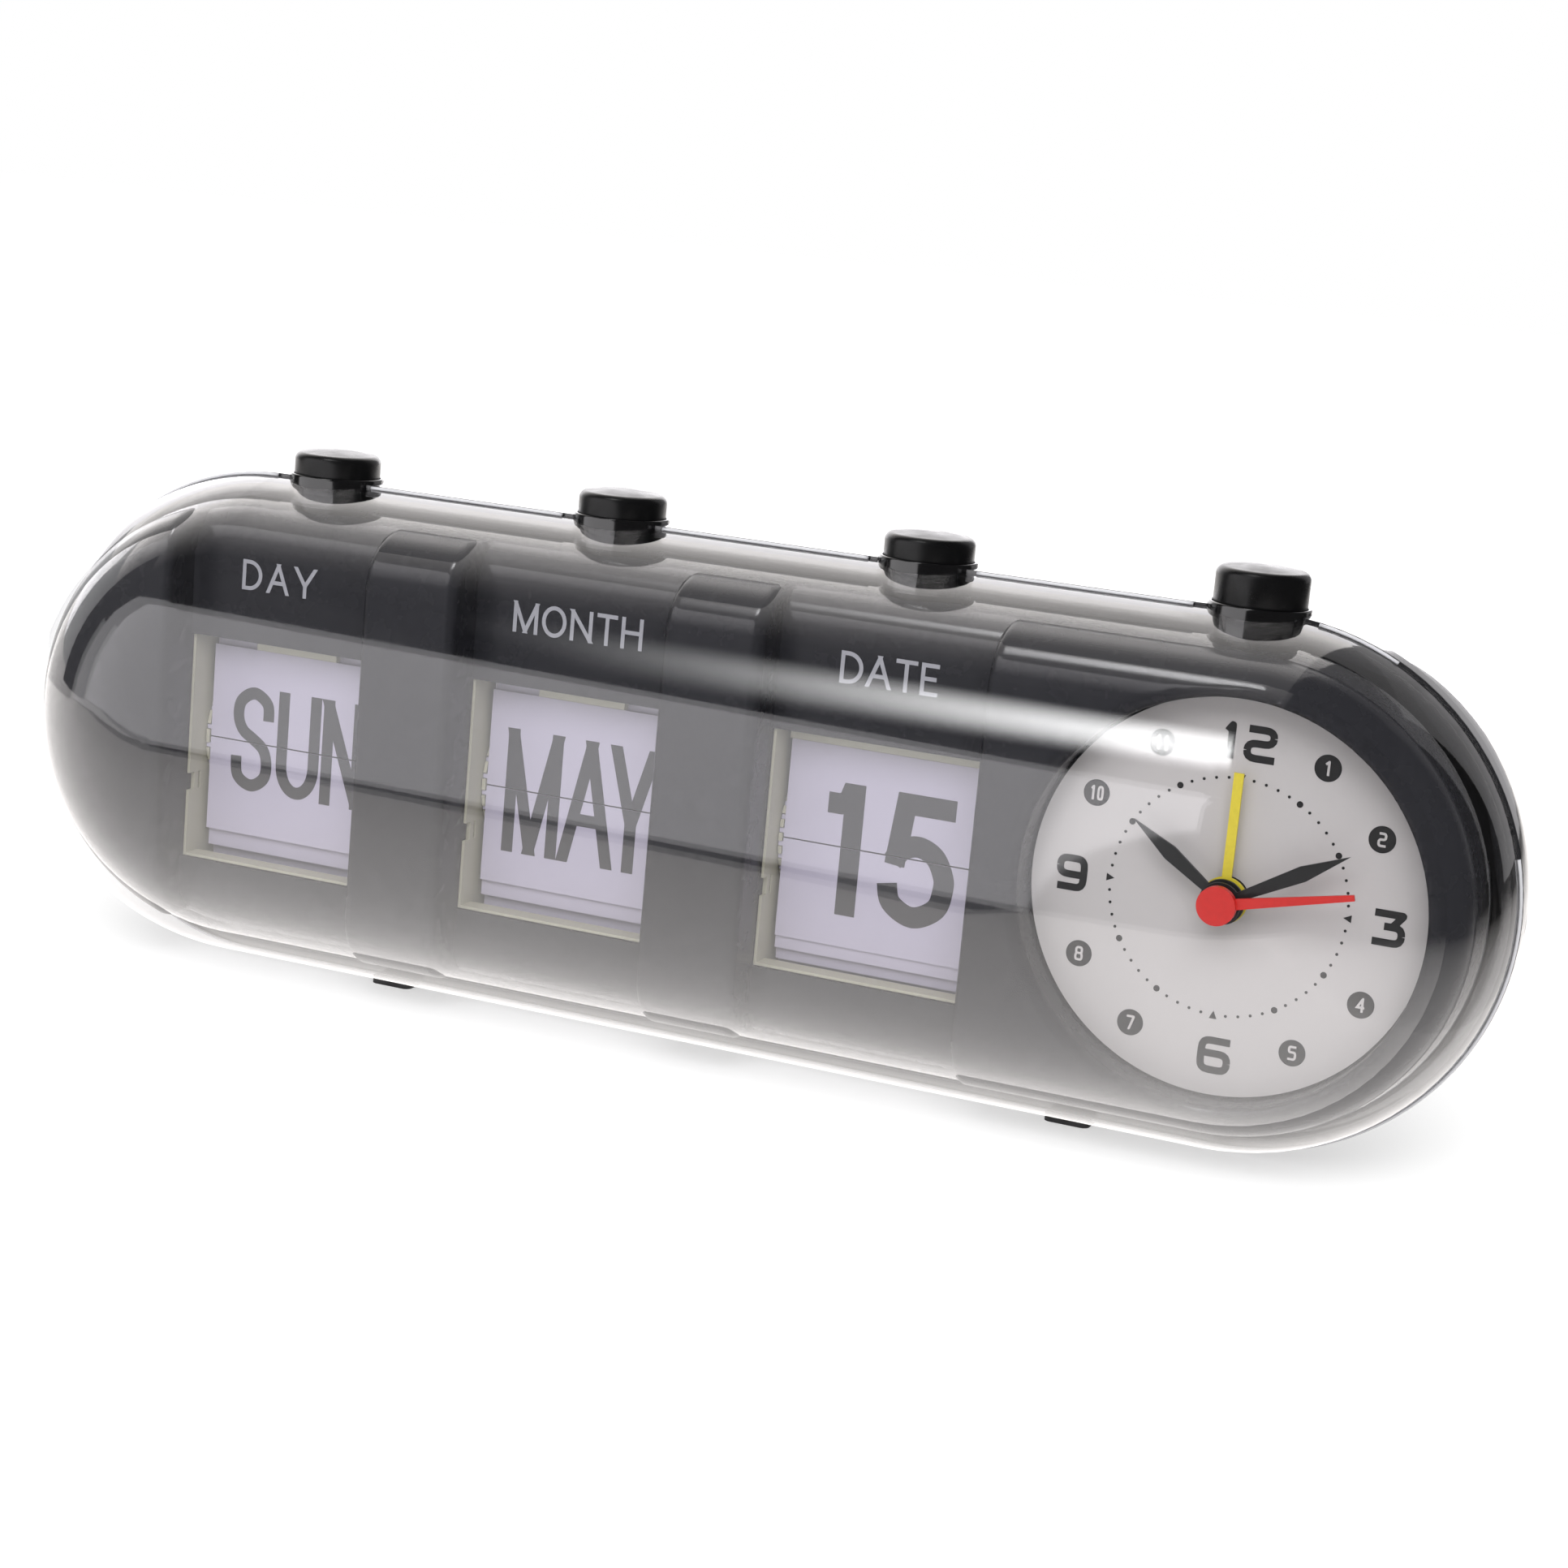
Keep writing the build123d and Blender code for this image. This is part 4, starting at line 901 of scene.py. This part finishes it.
class CLOCK_OT_body(bpy.types.Operator):
    """Shape the inner body with rounded shoulders and edges"""

    bl_idname = "flip_clock.body"
    bl_label = "Inner body"

    def execute(self, context):
        sizes = context.scene.flip_clock_sizes
        form = BodyForm(sizes.shoulder / MM, sizes.edge_rounding / MM)
        corners, faces = contoured(form, self.grid_lines(form))
        if len(faces) < 1000:
            raise RuntimeError("The inner body came out empty")
        corners = (corners + np.array([0, 0, AXIS_Z / MM])) * MM
        piece = add_piece("inner_body_soft", corners.tolist(), faces.tolist(),
                          "charcoal_body", "case", smooth=True)
        piece.data.set_sharp_from_angle(angle=radians(55))
        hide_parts("inner_body")
        return {"FINISHED"}

    def grid_lines(self, form):
        """Grid lines that stand close where the body is curved and far apart where it is flat."""
        along = [(-105.3, 0), (-71.0, 0.8)]
        for centre in form.grooves:
            for side in (-1, 1):
                edge = centre + side * form.groove_half
                if edge > -70:
                    along += [(edge - 2.5, 2.4), (edge + 2.5, 0.55)]
        along += [(46.0, 1.2), (105.3, 0.8)]
        deep = [(-19.1, 0), (-0.5, 0.62)]
        upright = [(-31.9, 0), (31.9, 0.8)]
        return [spaced(stops) for stops in (along, deep, upright)]


class CLOCK_OT_rim(bpy.types.Operator):
    """Add a pale opaque bead along the clear cover's outline, in front of the rear cover's lip: a
    painted highlight for the cover's bright edge
    """

    bl_idname = "flip_clock.rim"
    bl_label = "Clear rim"

    button_gap = 7.3 * MM
    dark_arc = (radians(15), radians(62))

    def execute(self, context):
        corners, faces = [], []
        for run in self.runs(BodyForm.half * MM):
            rings = self.bead_rings(run)
            bead_corners, bead_faces = tube(rings)
            first = len(corners)
            corners += bead_corners
            faces += [[first + corner for corner in face] for face in bead_faces + lids(rings)]
        # Painted highlight: an opaque pale bead in place of the light that the clear cover's edge shows
        add_piece("painted_highlight_rim", corners, faces, "painted_highlight_edge", "case", smooth=True)
        return {"FINISHED"}

    def runs(self, half):
        """Stretches of the outline that get the painted highlight, left open at the buttons and where
        the lip shows dark.
        """
        places = [(half, radians(90 - 3 * step)) for step in range(61)]
        places += [(-half, radians(270 - 3 * step)) for step in range(61)]
        places += [(-half + 2 * half * step / 200, radians(90)) for step in range(1, 200)]
        buttons = [middle(f"{name}_button").x for name in BUTTONS]
        runs = [[]]
        for x, angle in places:
            at_button = sin(angle) > 0.5 and any(
                abs(x + CASE_R * cos(angle) - button) < self.button_gap for button in buttons)
            at_lip = x == half and self.dark_arc[0] < angle < self.dark_arc[1]
            if at_button or at_lip:
                runs.append([])
            else:
                runs[-1].append((x, angle))
        return [run for run in runs if len(run) > 2]

    def bead_rings(self, run, sides=12):
        """Round sections of the bead at each place of a run."""
        depth = 0.36 * MM
        middle_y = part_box("rear_cover")[0].y - 0.38 * MM
        inner = (CASE_R ** 2 - middle_y ** 2) ** 0.5 - 0.06 * MM
        outer = CASE_R + 0.29 * MM
        rings = []
        for x, angle in run:
            section = []
            for side in range(sides):
                turn = 2 * pi * side / sides
                reach = (outer + inner) / 2 + (outer - inner) / 2 * cos(turn)
                section.append((x + reach * cos(angle), middle_y + depth * sin(turn),
                                AXIS_Z + reach * sin(angle)))
            rings.append(section)
        return rings


class CLOCK_OT_buttons(bpy.types.Operator):
    """Make the four push buttons with rounded caps, and the collars they stand in"""

    bl_idname = "flip_clock.buttons"
    bl_label = "Buttons and collars"

    def execute(self, context):
        rounding = context.scene.flip_clock_sizes.button_rounding
        for name in BUTTONS:
            node = f"{name}_button"
            low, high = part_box(node)
            centre = (low + high) / 2
            self.make_cap(node, centre, low.z, high.z, (high.x - low.x) / 2, rounding)
        self.make_collars()
        return {"FINISHED"}

    def make_cap(self, node, centre, foot, top, radius, rounding):
        """One cap: a stem, a straight wall, a round edge and a slightly domed top."""
        stem = 1.5 * MM
        dome = 0.45 * MM
        skirt = AXIS_Z + 30.5 * MM
        profile = [(stem, foot), (stem, skirt), (radius - 0.3 * MM, skirt), (radius, skirt + 0.3 * MM)]
        for step in range(9):
            angle = radians(90 * step / 8)
            profile.append((radius - rounding + rounding * cos(angle),
                            top - dome - rounding + rounding * sin(angle)))
        for step in range(1, 7):
            share = 1 - step / 6.5
            profile.append(((radius - rounding) * share, top - dome * share * share))
        cap = turned_piece(f"{node}_cap", profile, centre.x, centre.y,
                           "button_black", node)
        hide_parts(node)

    def make_collars(self):
        """Four collars with a round rim, which stand a little over the roof of the case."""
        foot, rim = (corner.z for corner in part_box("button_collars"))
        bore = 6.15 * MM
        edge = ((6.65, 0.3), (6.62, 0.12), (6.52, 0.02), (6.42, 0.0), (6.3, 0.02), (6.2, 0.08))
        profile = [(bore, foot), (edge[0][0] * MM, foot)]
        profile += [(radius * MM, rim - below * MM) for radius, below in edge]
        profile += [(bore, rim - 0.2 * MM), (bore, foot)]
        for index, name in enumerate(BUTTONS):
            centre = middle(f"{name}_button")
            collar = turned_piece(f"{name}_collar", profile, centre.x, centre.y,
                                  "collar_black", "case")
            if index == 0:
                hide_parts("button_collars")


class CLOCK_OT_leaf_prints(bpy.types.Operator):
    """Print day, month and date over the two halves of each leaf pair, and the next ones behind"""

    bl_idname = "flip_clock.leaf_prints"
    bl_label = "Leaf prints"

    texts = {
        "day": (-10.55, 4.75,
                (("S", -10.7, -3.8), ("U", -3.2, 3.8), ("N", 4.2, 10.9)),
                (("M", -11.3, -3.0), ("O", -2.2, 4.6), ("N", 5.2, 11.5))),
        "month": (-12.35, 5.2,
                  (("M", -11.3, -2.8), ("A", -2.6, 5.7), ("Y", 4.5, 11.8)),
                  (("J", -9.9, -4.2), ("U", -3.3, 3.6), ("N", 4.5, 11.3))),
        "date": (-12.65, 5.4,
                 (("1", -8.6, -2.25), ("5", -0.35, 10.4)),
                 (("1", -8.6, -2.25), ("6", -0.35, 10.4))),
    }

    def execute(self, context):
        sizes = context.scene.flip_clock_sizes
        for unit, (low, high, now, later) in self.texts.items():
            stroke = sizes.number_stroke if unit == "date" else sizes.letter_stroke
            self.print_unit(unit, low, high, now, later, stroke / MM)
        return {"FINISHED"}

    def print_unit(self, unit, low, high, now, later, stroke):
        """Upper and lower halves of this text, and of the one that the next leaf brings."""
        upper_low, upper_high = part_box(f"{unit}_falling_leaf")
        lower_low, lower_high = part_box(f"{unit}_lower_leaf")
        next_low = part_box(f"{unit}_next_leaf")[0]
        centre_x = (upper_low.x + upper_high.x) / 2
        origin = Vector((centre_x, upper_low.y, AXIS_Z))
        hinge_y = (upper_low.y + upper_high.y) / 2
        hinge_z = (upper_low.z + lower_high.z) / 2
        upper_edge = (upper_low.z - AXIS_Z) / MM
        lower_edge = (lower_high.z - AXIS_Z) / MM
        turn = (Matrix.Translation((0, hinge_y, hinge_z)) @ Matrix.Rotation(pi, 4, "X")
                @ Matrix.Translation((0, -hinge_y, -hinge_z)))
        behind = origin + Vector((0, next_low.y - upper_low.y, next_low.z - upper_low.z))
        for text in (now, later):
            whole = [piece for letter, x0, x1 in text
                     for piece in glyph(PLAIN[letter], x0, x1, low, high, stroke)]
            above = trimmed(whole, upper_edge, True)
            below = trimmed(whole, lower_edge, False)
            if text is now:
                prints = (("upper", above, origin, "falling", None),
                          ("lower", below, origin, "lower", None))
            else:
                prints = (("next_upper", above, behind, "next", None),
                          ("next_lower", below, origin, "falling", turn))
            for place, pieces, at, leaf, turned in prints:
                print_piece(f"{unit}_{place}_print", pieces, at, "leaf_ink",
                            f"{unit}_{leaf}_leaf", turned=turned)


class CLOCK_OT_labels(bpy.types.Operator):
    """Print the label over each window"""

    bl_idname = "flip_clock.labels"
    bl_label = "Window labels"

    words = {
        "day": ("DAY", (3.2, 3.5, 3.5), 0.85),
        "month": ("MONTH", (3.75, 3.7, 3.3, 3.1, 3.2), 0.6),
        "date": ("DATE", (3.2, 3.45, 3.05, 2.65), 0.5),
    }
    middles = {"day": -66.7, "month": -20.0, "date": 25.2}
    baseline = 19.45
    height = 4.3

    def execute(self, context):
        stroke = context.scene.flip_clock_sizes.label_stroke / MM
        face_y = self.floor_y()
        for unit, (word, widths, gap) in self.words.items():
            total = sum(widths) + gap * (len(word) - 1)
            x = self.middles[unit] - total / 2
            pieces = []
            for letter, width in zip(word, widths):
                pieces += glyph(PLAIN[letter], x, x + width, self.baseline,
                                self.baseline + self.height, stroke)
                x += width + gap
            print_piece(f"{unit}_label", pieces, Vector((0, face_y, AXIS_Z)),
                        "label_ink", "case")
        return {"FINISHED"}

    def floor_y(self):
        """Depth of the grooves' floor, 0.5 mm in front of the dial well's."""
        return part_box("dial_plate")[1].y - 0.5 * MM


class CLOCK_OT_dial_print(bpy.types.Operator):
    """Print the numerals and the ring of minute marks on the dial"""

    bl_idname = "flip_clock.dial_print"
    bl_label = "Dial print"

    def execute(self, context):
        sizes = context.scene.flip_clock_sizes
        origin = Vector((DIAL.x, DIAL_FACE_Y, DIAL.z))
        numerals = self.big_numerals()
        numerals += self.minute_marks(sizes.track_radius / MM)
        discs, knockouts = self.small_numerals()
        print_piece("dial_numerals", numerals, origin, "dial_ink", "case")
        print_piece("dial_discs", discs, origin, "dial_ink", "case")
        print_piece("dial_disc_numerals", knockouts, origin, "dial_knockout", "case",
                    lift=0.06, sink=-0.02)
        return {"FINISHED"}

    def big_numerals(self):
        """Twelve, three, six and nine."""
        stroke = 0.95
        spots = (("1", -3.1, -0.9, 17.65, 22.4), ("2", -0.25, 3.95, 17.65, 22.4),
                 ("3", 18.5, 22.7, -2.65, 1.95), ("6", -1.45, 2.95, -23.0, -18.2),
                 ("9", -22.55, -18.4, -2.6, 2.1))
        pieces = []
        for digit, x0, x1, z0, z1 in spots:
            pieces += glyph(SQUARE[digit], x0, x1, z0, z1, stroke)
        return pieces

    def minute_marks(self, radius):
        """Sixty marks: dots, larger ones at five minutes and triangles at the quarters."""
        pieces = []
        for minute in range(60):
            angle = radians(6 * minute)
            out = Vector((sin(angle), cos(angle)))
            along = Vector((out.y, -out.x))
            spot = out * radius
            if minute % 15 == 0:
                pieces.append([spot + out * 0.5 - along * 0.5, spot + out * 0.5 + along * 0.5,
                               spot - out * 0.55])
            elif minute % 5 == 0:
                pieces.append(disc(spot.x, spot.y, 0.42, 16))
            else:
                pieces.append(disc(spot.x, spot.y, 0.2, 10))
        return pieces

    def small_numerals(self):
        """Dark discs for the other hours, with light digits on them."""
        discs, digits = [], []
        ring_radius, disc_radius, half_height, stroke = 21.2, 1.72, 0.95, 0.3
        for hour in (1, 2, 4, 5, 7, 8, 10, 11):
            angle = radians(30 * hour)
            x, z = ring_radius * sin(angle), ring_radius * cos(angle)
            discs.append(disc(x, z, disc_radius, 40))
            text = str(hour)
            width, gap = (1.15, 0.12) if len(text) == 1 else (0.85, 0.15)
            start = x - (width * len(text) + gap * (len(text) - 1)) / 2
            for place, digit in enumerate(text):
                x0 = start + place * (width + gap)
                digits += glyph(SQUARE[digit], x0, x0 + width, z - half_height, z + half_height, stroke)
        return discs, digits


OPERATORS = (CLOCK_OT_stage, CLOCK_OT_carried, CLOCK_OT_body, CLOCK_OT_rim, CLOCK_OT_buttons,
             CLOCK_OT_leaf_prints, CLOCK_OT_labels, CLOCK_OT_dial_print)
GROUPS = {
    "flip_clock_colors": FlipClockColors,
    "flip_clock_sizes": FlipClockSizes,
    "flip_clock_studio": FlipClockStudio,
}


class CLOCK_PT_panel(bpy.types.Panel):
    """Sidebar panel with the clock's settings and steps"""

    bl_idname = "CLOCK_PT_panel"
    bl_label = "Flip Clock"
    bl_space_type = "VIEW_3D"
    bl_region_type = "UI"
    bl_category = "Flip Clock"

    def draw(self, context):
        for attribute, group in GROUPS.items():
            box = self.layout.box()
            for name in group.__annotations__:
                box.prop(getattr(context.scene, attribute), name)
        for operator in OPERATORS:
            self.layout.operator(operator.bl_idname)


def register():
    for cls in (*GROUPS.values(), *OPERATORS, CLOCK_PT_panel):
        bpy.utils.register_class(cls)
    for attribute, group in GROUPS.items():
        setattr(bpy.types.Scene, attribute, bpy.props.PointerProperty(type=group))


def unregister():
    for attribute in GROUPS:
        delattr(bpy.types.Scene, attribute)
    for cls in (CLOCK_PT_panel, *reversed(OPERATORS), *reversed(GROUPS.values())):
        bpy.utils.unregister_class(cls)


def main():
    """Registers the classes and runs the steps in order."""
    register()
    bpy.context.scene.view_settings.view_transform = "Standard"
    for operator in OPERATORS:
        group, step = operator.bl_idname.split(".")
        getattr(getattr(bpy.ops, group), step)()


if __name__ == "__main__":
    main()
